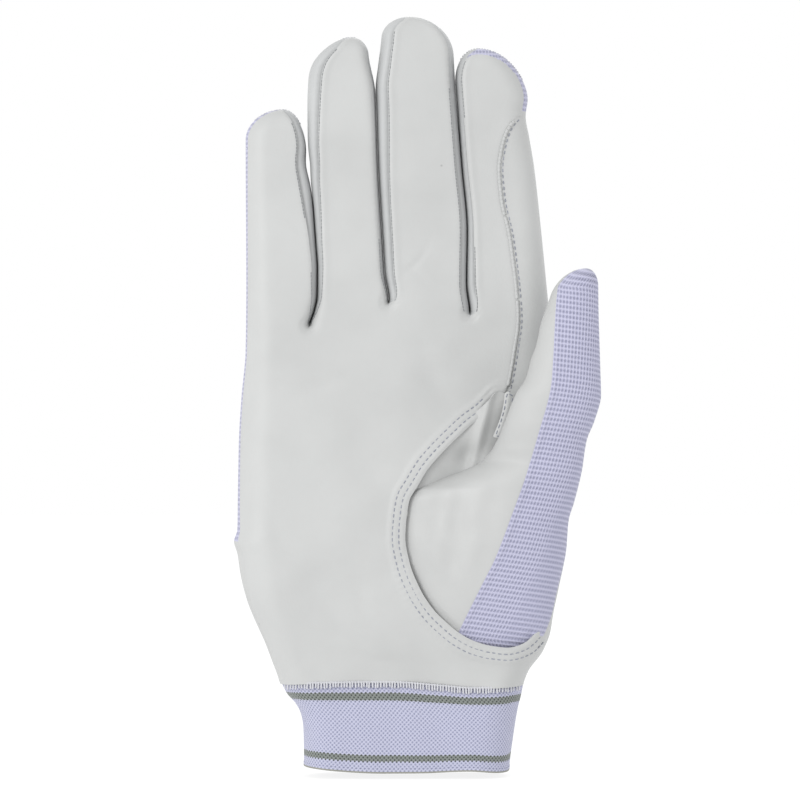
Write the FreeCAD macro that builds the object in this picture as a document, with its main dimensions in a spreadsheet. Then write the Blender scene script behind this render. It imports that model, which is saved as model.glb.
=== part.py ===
"""Right-hand sports glove: leather palm, knit back, elastic cuff, hook-and-loop wrist tab.

Frame: millimetres, fingers point along +Z, the palm faces -Y, the thumb is on the +X side.
The origin is the centre of the cuff's opening, where the hand goes in.
Each panel is a thin shell of its own. Where a finger bends, a wedge of each panel is left free
on the palm side, so that the neighbouring panels turn without meeting.
"""
import FreeCAD, Part

import math
import os

import Sketcher
from FreeCAD import Placement, Rotation, Vector

X_AXIS = Vector(1, 0, 0)
Y_AXIS = Vector(0, 1, 0)
Z_AXIS = Vector(0, 0, 1)
FINGERS = ("little", "ring", "middle", "index")
NEIGHBOURS = (
    ("little", "ring", "ring_little"),
    ("ring", "middle", "middle_ring"),
    ("middle", "index", "index_middle"),
)
REACH = 60.0  # how far a cutting block runs past what it cuts

SIZES = {
    # thicknesses and the seams between the front, the side walls and the back
    "leather_thickness": 1.1,
    "cuff_thickness": 1.6,
    "finger_wall_half": 5.0,
    "hand_wall_half": 6.5,
    # fingers, at rest, before they lean together towards the little finger's side
    "finger_half_depth": 8.2,
    "fingertip_half_depth": 7.0,
    "finger_corner": 6.2,
    "flex_axis_depth": -3.0,
    "flex_gap": 0.3,
    "lean_angle": 3.15,
    "lean_height": 140.0,
    "little_left": -48.6, "little_right": -27.8, "little_taper_left": 2.3, "little_taper_right": 0.0,
    "little_top": 199.0, "little_knuckle": 150.0, "little_mid": 171.0,
    "ring_left": -26.8, "ring_right": -6.7, "ring_taper_left": 0.3, "ring_taper_right": 0.3,
    "ring_top": 220.3, "ring_knuckle": 153.0, "ring_mid": 179.5,
    "middle_left": -5.7, "middle_right": 17.3, "middle_taper_left": 0.4, "middle_taper_right": 0.4,
    "middle_top": 226.8, "middle_knuckle": 154.0, "middle_mid": 183.0,
    "index_left": 18.3, "index_right": 41.6, "index_taper_left": 0.2, "index_taper_right": 3.0,
    "index_top": 217.0, "index_knuckle": 153.0, "index_mid": 178.5,
    # the bottoms of the slits between the fingers
    "ring_little_crotch": 135.0, "middle_ring_crotch": 141.0, "index_middle_crotch": 138.0,
    # cuff and the wrist end of the hand
    "cuff_height": 25.0,
    "binding_height": 1.2,
    "overlock_height": 1.8,
    "overlock_proud": 0.5,
    # leather yoke on the back of the wrist, its slit and the closure tab
    "yoke_top": 70.0,
    "slit_bottom": 25.0, "slit_top": 60.0, "slit_width": 4.0,
    "tab_bottom": 43.0, "tab_height": 20.0, "tab_thickness": 1.6,
    "tab_free_end": -26.0, "tab_hinge": 20.0, "tab_sewn_end": 31.0, "tab_end_radius": 9.0,
    "patch_thickness": 0.9, "patch_margin": 2.0, "hook_length": 26.0, "loop_length": 34.0,
    "patch_clearance": 0.2, "yoke_clearance": 0.3,
    # thumb: the lean of its leather to knit seam, and its two flexing lines
    "thumb_seam_x": 43.8, "thumb_seam_height": 146.0, "thumb_seam_lean": 15.6, "thumb_seam_turn": -30.0,
    "crotch_x": 27.3, "crotch_height": 112.0, "thumb_flex_angle": 60.8, "thumb_flex_offset": 10.0,
    "thumb_axis_depth": -18.0, "thumb_tip_axis_x": 48.6, "thumb_tip_flex": 130.0,
    "thumb_gap": 0.6, "thumb_wedge_half": 28.0, "thumb_clearance": 0.9,
    # patch over the thumb's crotch, and the stitches
    "web_patch_width": 4.0, "web_patch_length": 15.0, "web_patch_thickness": 0.6, "web_patch_lean": 15.8,
    "stitch_length": 1.3, "stitch_pitch": 1.8, "stitch_width": 0.35,
    "stitch_first_row": 2.0, "stitch_second_row": 3.9,
}

# Hand sections from the cuff to above the knuckles: height, left, right, half depth, corner radius.
HAND_SECTIONS = (
    (25.0, -38.3, 34.8, 14.0, 11.5),
    (40.0, -43.2, 39.6, 14.6, 12.0),
    (56.0, -49.4, 44.9, 14.6, 12.0),
    (73.0, -51.2, 47.6, 14.0, 11.5),
    (98.0, -50.8, 46.6, 12.8, 10.5),
    (120.0, -49.2, 43.7, 11.2, 9.5),
    (140.0, -48.7, 42.0, 9.4, 8.0),
    (157.0, -49.2, 41.0, 8.2, 6.5),
)
CUFF_SECTIONS = (
    (0.0, -31.5, 31.0, 13.0, 11.0),
    (12.0, -31.6, 31.8, 13.2, 11.0),
    (19.0, -34.0, 33.0, 13.6, 11.2),
    (25.0, -38.2, 34.7, 13.9, 11.4),
)
# Thumb sections from its base in the palm to its tip: height, centre x, centre y, half width, half depth.
THUMB_SECTIONS = (
    (37.5, 27.6, -13.0, 6.0, 3.5),
    (43.0, 27.7, -13.0, 12.7, 6.5),
    (52.0, 25.0, -13.0, 18.5, 9.0),
    (64.0, 23.5, -13.0, 23.0, 11.0),
    (76.0, 24.1, -13.5, 24.4, 12.0),
    (88.0, 27.1, -14.5, 23.2, 12.0),
    (100.0, 33.1, -16.5, 19.7, 11.5),
    (112.0, 41.5, -18.5, 15.0, 10.3),
    (125.0, 46.6, -19.5, 10.6, 9.2),
    (138.0, 48.9, -19.5, 8.2, 8.0),
    (146.0, 49.6, -19.5, 6.2, 6.1),
    (151.4, 49.7, -19.5, 3.2, 3.0),
)

# The palm's part of the seam that runs down from the index finger to the thumb's crotch: x, height.
INDEX_SEAM = ((32.0, 146.0), (32.7, 136.0), (31.5, 126.3), (30.0, 118.0), (29.3, 115.0))

doc = FreeCAD.newDocument("glove")
sheet = doc.addObject("Spreadsheet::Sheet", "sizes")
subparts = []


def fill_sheet():
    """Writes each driving size as a plain number in a cell that carries its name."""
    for row, (alias, value) in enumerate(SIZES.items(), start=1):
        sheet.set(f"A{row}", alias)
        sheet.set(f"B{row}", str(value))
        sheet.setAlias(f"B{row}", alias)
    doc.recompute()


def size(alias):
    return float(sheet.get(alias))


def bind(obj, **expressions):
    """Ties properties to the sheet. A double underscore stands for a dot in the property's path."""
    for name, expression in expressions.items():
        path = name.replace("__", ".")
        obj.setExpression(path, expression)
    return obj


def place(obj, x=None, y=None, z=None):
    """Ties the given coordinates of an object's placement to the sheet."""
    for axis, expression in (("x", x), ("y", y), ("z", z)):
        if expression is not None:
            obj.setExpression(f".Placement.Base.{axis}", expression)
    return obj


def block(name, length, width, height, x, y, z):
    """A cutting or building block whose sizes and corner are expressions on the sheet."""
    box = bind(doc.addObject("Part::Box", name), Length=length, Width=width, Height=height)
    return place(box, x, y, z)


def boolean(kind, name, base, tool):
    result = doc.addObject(f"Part::{kind}", name)
    result.Base = base
    result.Tool = tool
    return result


def cut(name, base, tool):
    return boolean("Cut", name, base, tool)


def common(name, base, tool):
    return boolean("Common", name, base, tool)


def fuse(name, shapes):
    result = doc.addObject("Part::MultiFuse", name)
    result.Shapes = shapes
    return result


def node(obj, label):
    """Marks an object as a sub-part: its label names its file."""
    obj.Label = label
    subparts.append(obj)
    return obj


def lean():
    """The fingers' common lean towards the little finger's side, about the lean height."""
    turn = Rotation(Y_AXIS, -size("lean_angle"))
    return Placement(Vector(0, 0, 0), turn, Vector(0, 0, size("lean_height")))


def rounded_section(name, height, left, right, half_depth, corner):
    """A sketch of a rounded rectangle at one height, symmetric about the plane y = 0."""
    sketch = doc.addObject("Sketcher::SketchObject", name)
    sketch.Placement = Placement(Vector(0, 0, height), Rotation())
    centres = (
        (right - corner, -half_depth + corner), (right - corner, half_depth - corner),
        (left + corner, half_depth - corner), (left + corner, -half_depth + corner),
    )
    for turn, (cx, cy) in enumerate(centres):
        circle = Part.Circle(Vector(cx, cy, 0), Z_AXIS, corner)
        start = math.radians(90 * turn - 90)
        sketch.addGeometry(Part.ArcOfCircle(circle, start, start + math.pi / 2))
    for turn in range(4):
        start = sketch.Geometry[turn].EndPoint
        end = sketch.Geometry[(turn + 1) % 4].StartPoint
        sketch.addGeometry(Part.LineSegment(start, end))
    for turn in range(4):
        line = 4 + turn
        sketch.addConstraint(Sketcher.Constraint("Tangent", turn, 2, line, 1))
        sketch.addConstraint(Sketcher.Constraint("Tangent", line, 2, (turn + 1) % 4, 1))
        sketch.addConstraint(Sketcher.Constraint("Vertical" if turn % 2 == 0 else "Horizontal", line))
    for turn in range(1, 4):
        sketch.addConstraint(Sketcher.Constraint("Equal", 0, turn))
    sketch.addConstraint(Sketcher.Constraint("Radius", 0, corner))
    for line, axis, value in ((4, "DistanceX", right), (6, "DistanceX", left), (5, "DistanceY", half_depth),
                              (7, "DistanceY", -half_depth)):
        sketch.addConstraint(Sketcher.Constraint(axis, -1, 1, line, 1, value))
    return sketch


def section_loft(name, sections, inset, run_on):
    """A solid through rounded sections, drawn in by inset, whose two ends run on by run_on."""
    sketches = []
    last = len(sections) - 1
    for number, (height, left, right, half_depth, corner) in enumerate(sections):
        shift = -run_on if number == 0 else run_on if number == last else 0.0
        sketches.append(rounded_section(f"{name}_section_{number}", height + shift, left + inset,
                                        right - inset, half_depth - inset, corner - inset))
    loft = doc.addObject("Part::Loft", name)
    loft.Sections = sketches
    loft.Solid = True
    return loft


def ellipse_loft(name, sections, inset):
    """A solid through level ellipses, each drawn as four arcs, drawn in all round by inset."""
    rings = []
    last = len(sections) - 1
    for number, (height, cx, cy, half_width, half_depth) in enumerate(sections):
        shift = inset if number == 0 else -inset if number == last else 0.0
        ring = doc.addObject("Sketcher::SketchObject", f"{name}_ring_{number}")
        ring.Placement = Placement(Vector(0, 0, height + shift), Rotation())
        ellipse = Part.Ellipse(Vector(cx, cy, 0), half_width - inset, min(half_depth, half_width) - inset)
        for quarter in range(4):
            start = math.pi * (quarter / 2 + 1 / 4)
            ring.addGeometry(Part.ArcOfEllipse(ellipse, start, start + math.pi / 2))
        rings.append(ring)
    loft = doc.addObject("Part::Loft", name)
    loft.Sections = rings
    loft.Solid = True
    return loft


def round_free_edges(name, wedge, corner):
    """Rounds every edge of a finger's block but those of its open end."""
    doc.recompute()
    floor = wedge.Shape.BoundBox.ZMin + 0.01
    edges = []
    for number, edge in enumerate(wedge.Shape.Edges, start=1):
        if max(vertex.Z for vertex in edge.Vertexes) > floor:
            edges.append((number, corner, corner))
    fillet = doc.addObject("Part::Fillet", name)
    fillet.Base = wedge
    fillet.Edges = edges
    return fillet


def finger_block(finger, name, inset):
    """A finger's outer form, or with an inset its hollow, as a tapered block standing on its knuckle."""
    start = f"sizes.{finger}_knuckle"
    wedge = doc.addObject("Part::Wedge", name)
    wedge.Placement = Placement(Vector(0, 0, 0), Rotation(X_AXIS, 90))
    run_on = " - 2" if inset else " + sizes.flex_gap / 2"
    drawn = f"{inset} * sizes.leather_thickness"
    bind(
        wedge,
        Xmin=f"sizes.{finger}_left + {drawn}",
        Xmax=f"sizes.{finger}_right - {drawn}",
        X2min=f"sizes.{finger}_left + sizes.{finger}_taper_left + {drawn}",
        X2max=f"sizes.{finger}_right - sizes.{finger}_taper_right - {drawn}",
        Ymin=start + run_on,
        Ymax=f"sizes.{finger}_top - {drawn}",
        Zmin=f"-sizes.finger_half_depth + {drawn}",
        Zmax=f"sizes.finger_half_depth - {drawn}",
        Z2min=f"-sizes.fingertip_half_depth + {drawn}",
        Z2max=f"sizes.fingertip_half_depth - {drawn}",
    )
    corner = size("finger_corner") - inset * size("leather_thickness")
    return round_free_edges(f"{name}_rounded", wedge, corner)


def flex_notch(name, finger, joint):
    """The right-angled wedge that stays free on the palm side of a finger's flexing line."""
    notch = block(name, f"sizes.{finger}_right - sizes.{finger}_left + 2", "14", "14",
                  f"sizes.{finger}_left - 1", "sizes.flex_axis_depth", f"sizes.{finger}_{joint}")
    notch.Placement.Rotation = Rotation(X_AXIS, 135)
    return notch


def make_finger(finger):
    """A finger's eight panels: front, back and two side walls, below and above its middle joint."""
    outer = finger_block(finger, f"{finger}_outer", 0)
    inner = finger_block(finger, f"{finger}_inner", 1)
    shell = cut(f"{finger}_shell", outer, inner)
    for joint in ("knuckle", "mid"):
        shell = cut(f"{finger}_free_of_{joint}", shell, flex_notch(f"{finger}_{joint}_notch", finger, joint))
    wall = "sizes.finger_wall_half"
    middle = f"(sizes.{finger}_left + sizes.{finger}_right) / 2"
    whole_left = f"sizes.{finger}_left - 5"
    whole_width = f"sizes.{finger}_right - sizes.{finger}_left + 10"
    spans = {
        "front": (whole_left, whole_width, f"-{wall} - {REACH}", f"{REACH}"),
        "back": (whole_left, whole_width, wall, f"{REACH}"),
        "left_wall": (middle + f" - {REACH}", f"{REACH}", f"-{wall}", f"2 * {wall}"),
        "right_wall": (middle, f"{REACH}", f"-{wall}", f"2 * {wall}"),
    }
    heights = {
        "base": (f"sizes.{finger}_knuckle",
                 f"sizes.{finger}_mid - sizes.{finger}_knuckle - sizes.flex_gap / 2"),
        "tip": (f"sizes.{finger}_mid + sizes.flex_gap / 2", f"{REACH}"),
    }
    for part_name, (low, height) in heights.items():
        for side, (x, length, y, width) in spans.items():
            cutter = block(f"{finger}_{part_name}_{side}_cutter", length, width, height, x, y, low)
            panel = common(f"{finger}_{part_name}_{side}_solid", shell, cutter)
            panel.Placement = lean()
            node(panel, f"{finger}_{part_name}_{side}")


def hand_cutters():
    """The slits between the fingers, and what is free above each knuckle."""
    cutters = []
    for left, right, pair in NEIGHBOURS:
        slit = block(f"{pair}_crotch_slit", f"sizes.{right}_left - sizes.{left}_right", "60", f"{REACH}",
                     f"sizes.{left}_right", "-30", f"sizes.{pair}_crotch")
        cutters.append(slit)
    for finger in FINGERS:
        above = block(f"{finger}_above", f"sizes.{finger}_right - sizes.{finger}_left + 2", "60", f"{REACH}",
                      f"sizes.{finger}_left - 1", "-30", f"sizes.{finger}_knuckle - sizes.flex_gap / 2")
        cutters += [above, flex_notch(f"{finger}_root_notch", finger, "knuckle")]
    gathered = fuse("hand_top_cutters", cutters)
    gathered.Placement = lean()
    return gathered


def make_crotches(top_cutters):
    """The foot of each fourchette: a narrow channel round the bottom of the slit between two fingers."""
    wall = "sizes.leather_thickness"
    for left, right, pair in NEIGHBOURS:
        width = f"sizes.{right}_left - sizes.{left}_right + 2 * {wall}"
        x = f"sizes.{left}_right - {wall}"
        sides = block(f"{pair}_channel_sides", width, "14", f"sizes.{left}_knuckle - sizes.{pair}_crotch",
                      x, "-7", f"sizes.{pair}_crotch")
        foot = block(f"{pair}_channel_foot", width, "14", wall, x, "-7", f"sizes.{pair}_crotch - {wall}")
        channel_leaned = fuse(f"{pair}_channel_leaned", [sides, foot])
        channel_leaned.Placement = lean()
        node(cut(f"{pair}_crotch_solid", channel_leaned, top_cutters), f"crotch_{pair}")


def make_hand(thumb_outer):
    """Palm, back, side and wrist panels, all cut from one hollow form."""
    outer = section_loft("hand_outer", HAND_SECTIONS, 0.0, 0.0)
    inner = section_loft("hand_inner", HAND_SECTIONS, SIZES["leather_thickness"], 1.0)
    top_cutters = hand_cutters()
    shell = cut("hand_open_top", cut("hand_shell", outer, inner), top_cutters)
    make_crotches(top_cutters)

    wall = "sizes.hand_wall_half"
    front = block("palm_cutter", "200", f"{REACH}", "200", "-100", f"-{wall} - {REACH}", "0")
    palm = common("palm_whole", shell, front)
    node(cut("palm_solid", palm, thumb_outer), "palm_leather")

    side = block("side_cutter", f"{REACH}", f"2 * {wall}", "200", "0", f"-{wall}", "0")
    node(cut("side_panel_solid", common("side_panel_whole", shell, side), thumb_outer), "index_side_panel")

    back_high = block("back_cutter", "200", f"{REACH}", "200", "-100", wall, "sizes.yoke_top")
    edge_high = block("edge_cutter", f"{REACH}", f"2 * {wall}", "200", f"-{REACH}", f"-{wall}",
                      "sizes.yoke_top")
    node(common("back_solid", shell, fuse("back_cutters", [back_high, edge_high])), "back_knit")

    back_low = block("yoke_cutter", "200", f"{REACH}", "sizes.yoke_top", "-100", wall, "0")
    edge_low = block("yoke_edge_cutter", f"{REACH}", f"2 * {wall}", "sizes.yoke_top", f"-{REACH}",
                     f"-{wall}", "0")
    yoke = common("yoke_whole", shell, fuse("yoke_cutters", [back_low, edge_low]))
    slit = block("slit_cutter", "sizes.slit_width", f"{REACH}", "sizes.slit_top - sizes.slit_bottom",
                 "-sizes.slit_width / 2", "0", "sizes.slit_bottom")
    node(cut("yoke_solid", yoke, slit), "wrist_yoke")
    return outer


def make_cuff():
    """The elastic cuff, the narrow tape at its hem and the overlocked seam at its top."""
    wall = SIZES["cuff_thickness"]
    whole = cut("cuff_shell", section_loft("cuff_outer", CUFF_SECTIONS, 0.0, 0.0),
                section_loft("cuff_inner", CUFF_SECTIONS, wall, 1.0))
    low = block("binding_cutter", "200", "200", "sizes.binding_height", "-100", "-100", "0")
    node(common("binding_solid", whole, low), "cuff_hem_tape")
    node(cut("band_solid", whole, low), "cuff_band")
    proud = SIZES["overlock_proud"]
    ring = cut("overlock_ring", section_loft("overlock_outer", HAND_SECTIONS[:3], -proud - 0.1, 3.0),
               section_loft("overlock_inner", HAND_SECTIONS[:3], -0.1, 4.0))
    slice_block = block("overlock_cutter", "200", "200", "sizes.overlock_height", "-100", "-100",
                        "sizes.cuff_height - sizes.overlock_height / 2")
    node(common("overlock_solid", ring, slice_block), "cuff_overlock_seam")


def flex_cutters(name, frame):
    """Two blocks, before and beyond a flexing line, and the wedge that stays free on its inner side.

    In the frame the line is the z axis, the moving side is +x and the wedge opens towards -y.
    """
    cutters = []
    for side, turn in (("before", Rotation(Z_AXIS, 180)), ("beyond", Rotation())):
        slab = doc.addObject("Part::Box", f"{name}_{side}")
        bind(slab, Length=f"{2 * REACH}", Width=f"{4 * REACH}", Height=f"{4 * REACH}")
        corner = turn.multVec(Vector(-size("thumb_gap") / 2, -2 * REACH, 0)) + Vector(0, 0, -2 * REACH)
        slab.Placement = frame.multiply(Placement(corner, turn))
        cutters.append(slab)
    wedge = doc.addObject("Part::Wedge", f"{name}_wedge")
    opening = REACH * math.tan(math.radians(size("thumb_wedge_half")))
    wedge.Xmin = -size("thumb_gap") / 2
    wedge.Xmax = size("thumb_gap") / 2
    wedge.X2min = -opening
    wedge.X2max = opening
    wedge.Ymin = 0
    wedge.Ymax = REACH
    wedge.Zmin = -2 * REACH
    wedge.Zmax = 2 * REACH
    wedge.Z2min = -2 * REACH
    wedge.Z2max = 2 * REACH
    wedge.Placement = frame.multiply(Placement(Vector(0, 0, 0), Rotation(Z_AXIS, 180)))
    return cutters[0], cutters[1], wedge


def make_thumb(hand_outer, outer):
    """The thumb: leather towards the palm and knit on its back, in three parts along its length."""
    inner = ellipse_loft("thumb_inner", THUMB_SECTIONS, SIZES["leather_thickness"])
    shell = cut("thumb_shell", outer, inner)

    seam_turn = Rotation(Y_AXIS, size("thumb_seam_lean")).multiply(Rotation(Z_AXIS, size("thumb_seam_turn")))
    knit_side = bind(doc.addObject("Part::Box", "thumb_knit_side"), Length=f"{REACH * 2}",
                     Width=f"{REACH * 4}", Height=f"{REACH * 5}")
    seam_point = Vector(size("thumb_seam_x"), -25.0, size("thumb_seam_height"))
    corner = seam_point + seam_turn.multVec(Vector(0, -REACH * 2, -REACH * 3))
    knit_side.Placement = Placement(corner, seam_turn)

    flex_turn = Rotation(Y_AXIS, size("thumb_flex_angle") - 90)
    foot = Vector(size("crotch_x"), size("thumb_axis_depth"), size("crotch_height"))
    base_frame = Placement(foot + flex_turn.multVec(X_AXIS) * size("thumb_flex_offset"), flex_turn)
    tip_turn = Rotation(Y_AXIS, -90).multiply(Rotation(X_AXIS, -90))
    tip_point = Vector(size("thumb_tip_axis_x"), size("thumb_axis_depth"), size("thumb_tip_flex"))
    tip_frame = Placement(tip_point, tip_turn)
    before_base, beyond_base, base_wedge = flex_cutters("thumb_base", base_frame)
    before_tip, beyond_tip, tip_wedge = flex_cutters("thumb_tip", tip_frame)

    hand_clearance = section_loft("hand_clearance", HAND_SECTIONS, -size("thumb_clearance"), 0.0)
    halves = {
        "knit": common("thumb_knit_half", shell, knit_side),
        "leather": cut("thumb_leather_half", shell, knit_side),
    }
    for material, half in halves.items():
        gusset = cut(f"gusset_{material}_whole", cut(f"gusset_{material}_low", half, beyond_base), base_wedge)
        node(cut(f"gusset_{material}_solid", gusset, hand_outer), f"thumb_gusset_{material}")
        moving = cut(f"moving_{material}_free", cut(f"moving_{material}", half, before_base), base_wedge)
        below = cut(f"thumb_{material}_below", moving, beyond_tip)
        whole = cut(f"thumb_{material}_whole", below, tip_wedge)
        above_palm = cut(f"thumb_{material}_above_palm", whole, hand_clearance)
        node(above_palm, f"thumb_{material}")
        end = cut(f"thumb_tip_{material}_whole", half, before_tip)
        node(cut(f"thumb_tip_{material}_solid", end, tip_wedge), f"thumb_tip_{material}")


def pad_body(label, outline, thickness, placement):
    """A flat piece padded from a closed outline of lines and arcs drawn in its own plane."""
    body = doc.addObject("PartDesign::Body", f"{label}_body")
    sketch = body.newObject("Sketcher::SketchObject", f"{label}_outline")
    plane = [feature for feature in body.Origin.OriginFeatures if feature.Role == "XY_Plane"][0]
    sketch.AttachmentSupport = [(plane, "")]
    sketch.MapMode = "FlatFace"
    for geometry in outline:
        sketch.addGeometry(geometry)
    for number in range(len(outline)):
        following = (number + 1) % len(outline)
        sketch.addConstraint(Sketcher.Constraint("Coincident", number, 2, following, 1))
    pad = body.newObject("PartDesign::Pad", f"{label}_pad")
    pad.Profile = sketch
    pad.setExpression("Length", thickness)
    body.Placement = placement
    return body


def round_ended_outline(left, right, low, high, radius):
    """A strap's outline in its own plane: square at the right, rounded at the left."""
    corner_low = Part.ArcOfCircle(Part.Circle(Vector(left + radius, low + radius, 0), Z_AXIS, radius),
                                  math.pi, 1.5 * math.pi)
    corner_high = Part.ArcOfCircle(Part.Circle(Vector(left + radius, high - radius, 0), Z_AXIS, radius),
                                   0.5 * math.pi, math.pi)
    return [
        corner_low,
        Part.LineSegment(Vector(left + radius, low, 0), Vector(right, low, 0)),
        Part.LineSegment(Vector(right, low, 0), Vector(right, high, 0)),
        Part.LineSegment(Vector(right, high, 0), Vector(left + radius, high, 0)),
        corner_high,
        Part.LineSegment(Vector(left, high - radius, 0), Vector(left, low + radius, 0)),
    ]


def back_plane(y):
    """A placement whose plane stands on the back of the hand at depth y, with its own x to the right."""
    return Placement(Vector(0, y, 0), Rotation(X_AXIS, 90))


def back_surface():
    """How far back the flat of the yoke reaches at the tab's height."""
    return max(section[3] for section in HAND_SECTIONS)


def make_closure():
    """The hook-and-loop closure on the back of the wrist: patches, sewn end and the tab that opens."""
    low = size("tab_bottom")
    high = low + size("tab_height")
    margin = size("patch_margin")
    patch = size("patch_thickness")
    free_end = size("tab_free_end")
    hinge = size("tab_hinge")
    radius = size("tab_end_radius")
    loop_face = back_surface() + size("yoke_clearance") + patch
    hook_face = loop_face + size("patch_clearance") + patch
    tab_face = hook_face + size("tab_thickness")

    loop_left = free_end + margin
    loop = round_ended_outline(loop_left, loop_left + size("loop_length"), low + margin, high - margin, 3.0)
    loop_body = pad_body("loop_patch", loop, "sizes.patch_thickness", back_plane(loop_face))
    hook = round_ended_outline(free_end + margin, free_end + margin + size("hook_length"), low + margin,
                               high - margin, 3.0)
    hook_body = pad_body("hook_patch", hook, "sizes.patch_thickness", back_plane(hook_face))
    tab = round_ended_outline(free_end, hinge - size("flex_gap"), low, high, radius)
    tab_body = pad_body("closure_tab", tab, "sizes.tab_thickness", back_plane(tab_face))
    sewn = round_ended_outline(hinge + size("flex_gap"), size("tab_sewn_end"), low, high, 0.5)
    sewn_body = pad_body("tab_sewn_end", sewn, "sizes.tab_thickness", back_plane(tab_face))
    node(loop_body, "loop_patch")
    node(hook_body, "hook_patch")
    node(tab_body, "closure_tab")
    node(sewn_body, "tab_sewn_end")


def hand_half_depth(height):
    """Half the hand's depth at a height, between its sections."""
    for lower, upper in zip(HAND_SECTIONS, HAND_SECTIONS[1:]):
        if lower[0] <= height <= upper[0]:
            share = (height - lower[0]) / (upper[0] - lower[0])
            return lower[3] + share * (upper[3] - lower[3])
    return HAND_SECTIONS[-1][3]


def stitch_row(route):
    """Separate short stitches that lie on the palm along a route of (x, height) points."""
    pitch = size("stitch_pitch")
    length = size("stitch_length")
    width = size("stitch_width")
    stitches = []
    travelled = 0.0
    for (x0, z0), (x1, z1) in zip(route, route[1:]):
        travelled += math.hypot(x1 - x0, z1 - z0)
        if travelled < pitch:
            continue
        travelled -= pitch
        direction = math.degrees(math.atan2(z1 - z0, x1 - x0))
        stitch = Part.makeBox(length, width, width, Vector(-length / 2, -width / 2, -width / 2))
        y = -hand_half_depth(z1) - 0.05 - width
        stitch.Placement = Placement(Vector(x1, y, z1), Rotation(Y_AXIS, -direction))
        stitches.append(stitch)
    return stitches


def stitching(label, rows):
    """One piece that holds every stitch of the given rows."""
    feature = doc.addObject("Part::Feature", f"{label}_thread")
    feature.Shape = Part.Compound([stitch for row in rows for stitch in row])
    node(feature, label)


def finely(route, steps=40):
    """The same route with each run between two points divided into equal steps."""
    fine = []
    for (x0, z0), (x1, z1) in zip(route, route[1:]):
        for step in range(steps):
            fine.append((x0 + (x1 - x0) * step / steps, z0 + (z1 - z0) * step / steps))
    return fine


def thumb_hole_edge(offset):
    """The left edge of the hole that the thumb is set into, drawn out by offset."""
    edge = []
    for height, cx, cy, half_width, half_depth in THUMB_SECTIONS:
        away = (hand_half_depth(height) + cy) / half_depth
        if abs(away) < 1 and height <= size("crotch_height"):
            edge.append((cx - half_width * math.sqrt(1 - away * away) - offset, height))
    return finely(edge)


def make_web_patch(thumb_outer):
    """The small patch that backs the thumb's crotch on the palm."""
    strip = bind(doc.addObject("Part::Box", "web_patch_strip"), Length="sizes.web_patch_width",
                 Width="sizes.web_patch_thickness", Height="sizes.web_patch_length")
    turn = Rotation(Y_AXIS, size("web_patch_lean"))
    top = Vector(size("crotch_x") - size("web_patch_width"), 0, size("crotch_height"))
    corner = top + turn.multVec(Vector(0, 0, -size("web_patch_length")))
    corner.y = -hand_half_depth(corner.z) - 0.05 - size("web_patch_thickness")
    strip.Placement = Placement(corner, turn)
    node(cut("web_patch_solid", strip, thumb_outer), "web_patch")


def main():
    fill_sheet()
    thumb_outer = ellipse_loft("thumb_outer", THUMB_SECTIONS, 0.0)
    hand_outer = make_hand(thumb_outer)
    make_thumb(hand_outer, thumb_outer)
    make_cuff()
    make_closure()
    for finger in FINGERS:
        make_finger(finger)
    make_web_patch(thumb_outer)
    rows = (size("stitch_first_row"), size("stitch_second_row"))
    stitching("thumb_hole_stitches", [stitch_row(thumb_hole_edge(row)) for row in rows])
    stitching("index_seam_stitches", [stitch_row(finely(INDEX_SEAM))])
    doc.recompute()

    os.makedirs("parts", exist_ok=True)
    for obj in doc.Objects:
        if "Invalid" in obj.State or "Error" in obj.State:
            raise RuntimeError(f"{obj.Name} failed: {obj.State}")
    for part in subparts:
        shape = part.Shape
        if shape.isNull() or not shape.isValid() or not shape.Solids:
            raise RuntimeError(f"{part.Label} has no valid solid")
    for part in subparts:
        part.Shape.exportStep(f"parts/{part.Label}.step")
        print(part.Label, len(part.Shape.Solids), round(part.Shape.Volume, 1))


main()
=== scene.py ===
import math

import bpy
import numpy as np
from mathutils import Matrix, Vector


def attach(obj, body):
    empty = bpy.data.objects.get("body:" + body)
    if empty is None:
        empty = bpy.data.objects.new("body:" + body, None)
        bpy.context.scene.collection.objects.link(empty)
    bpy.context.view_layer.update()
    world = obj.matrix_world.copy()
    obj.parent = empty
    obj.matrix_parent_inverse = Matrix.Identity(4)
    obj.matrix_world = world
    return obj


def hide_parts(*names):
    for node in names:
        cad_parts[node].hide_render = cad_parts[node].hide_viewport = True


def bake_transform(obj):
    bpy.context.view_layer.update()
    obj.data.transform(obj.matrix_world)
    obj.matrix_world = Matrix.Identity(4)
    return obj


MM = 0.001
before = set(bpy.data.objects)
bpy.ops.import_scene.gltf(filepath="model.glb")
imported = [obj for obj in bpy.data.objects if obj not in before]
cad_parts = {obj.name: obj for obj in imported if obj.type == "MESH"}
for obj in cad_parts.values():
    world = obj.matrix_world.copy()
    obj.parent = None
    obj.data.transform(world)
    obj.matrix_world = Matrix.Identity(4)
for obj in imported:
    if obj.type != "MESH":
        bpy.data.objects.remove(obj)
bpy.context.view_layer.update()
rng = np.random.default_rng(7)


# ---------------------------------------------------------------- curves and fields (millimetres)

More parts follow.
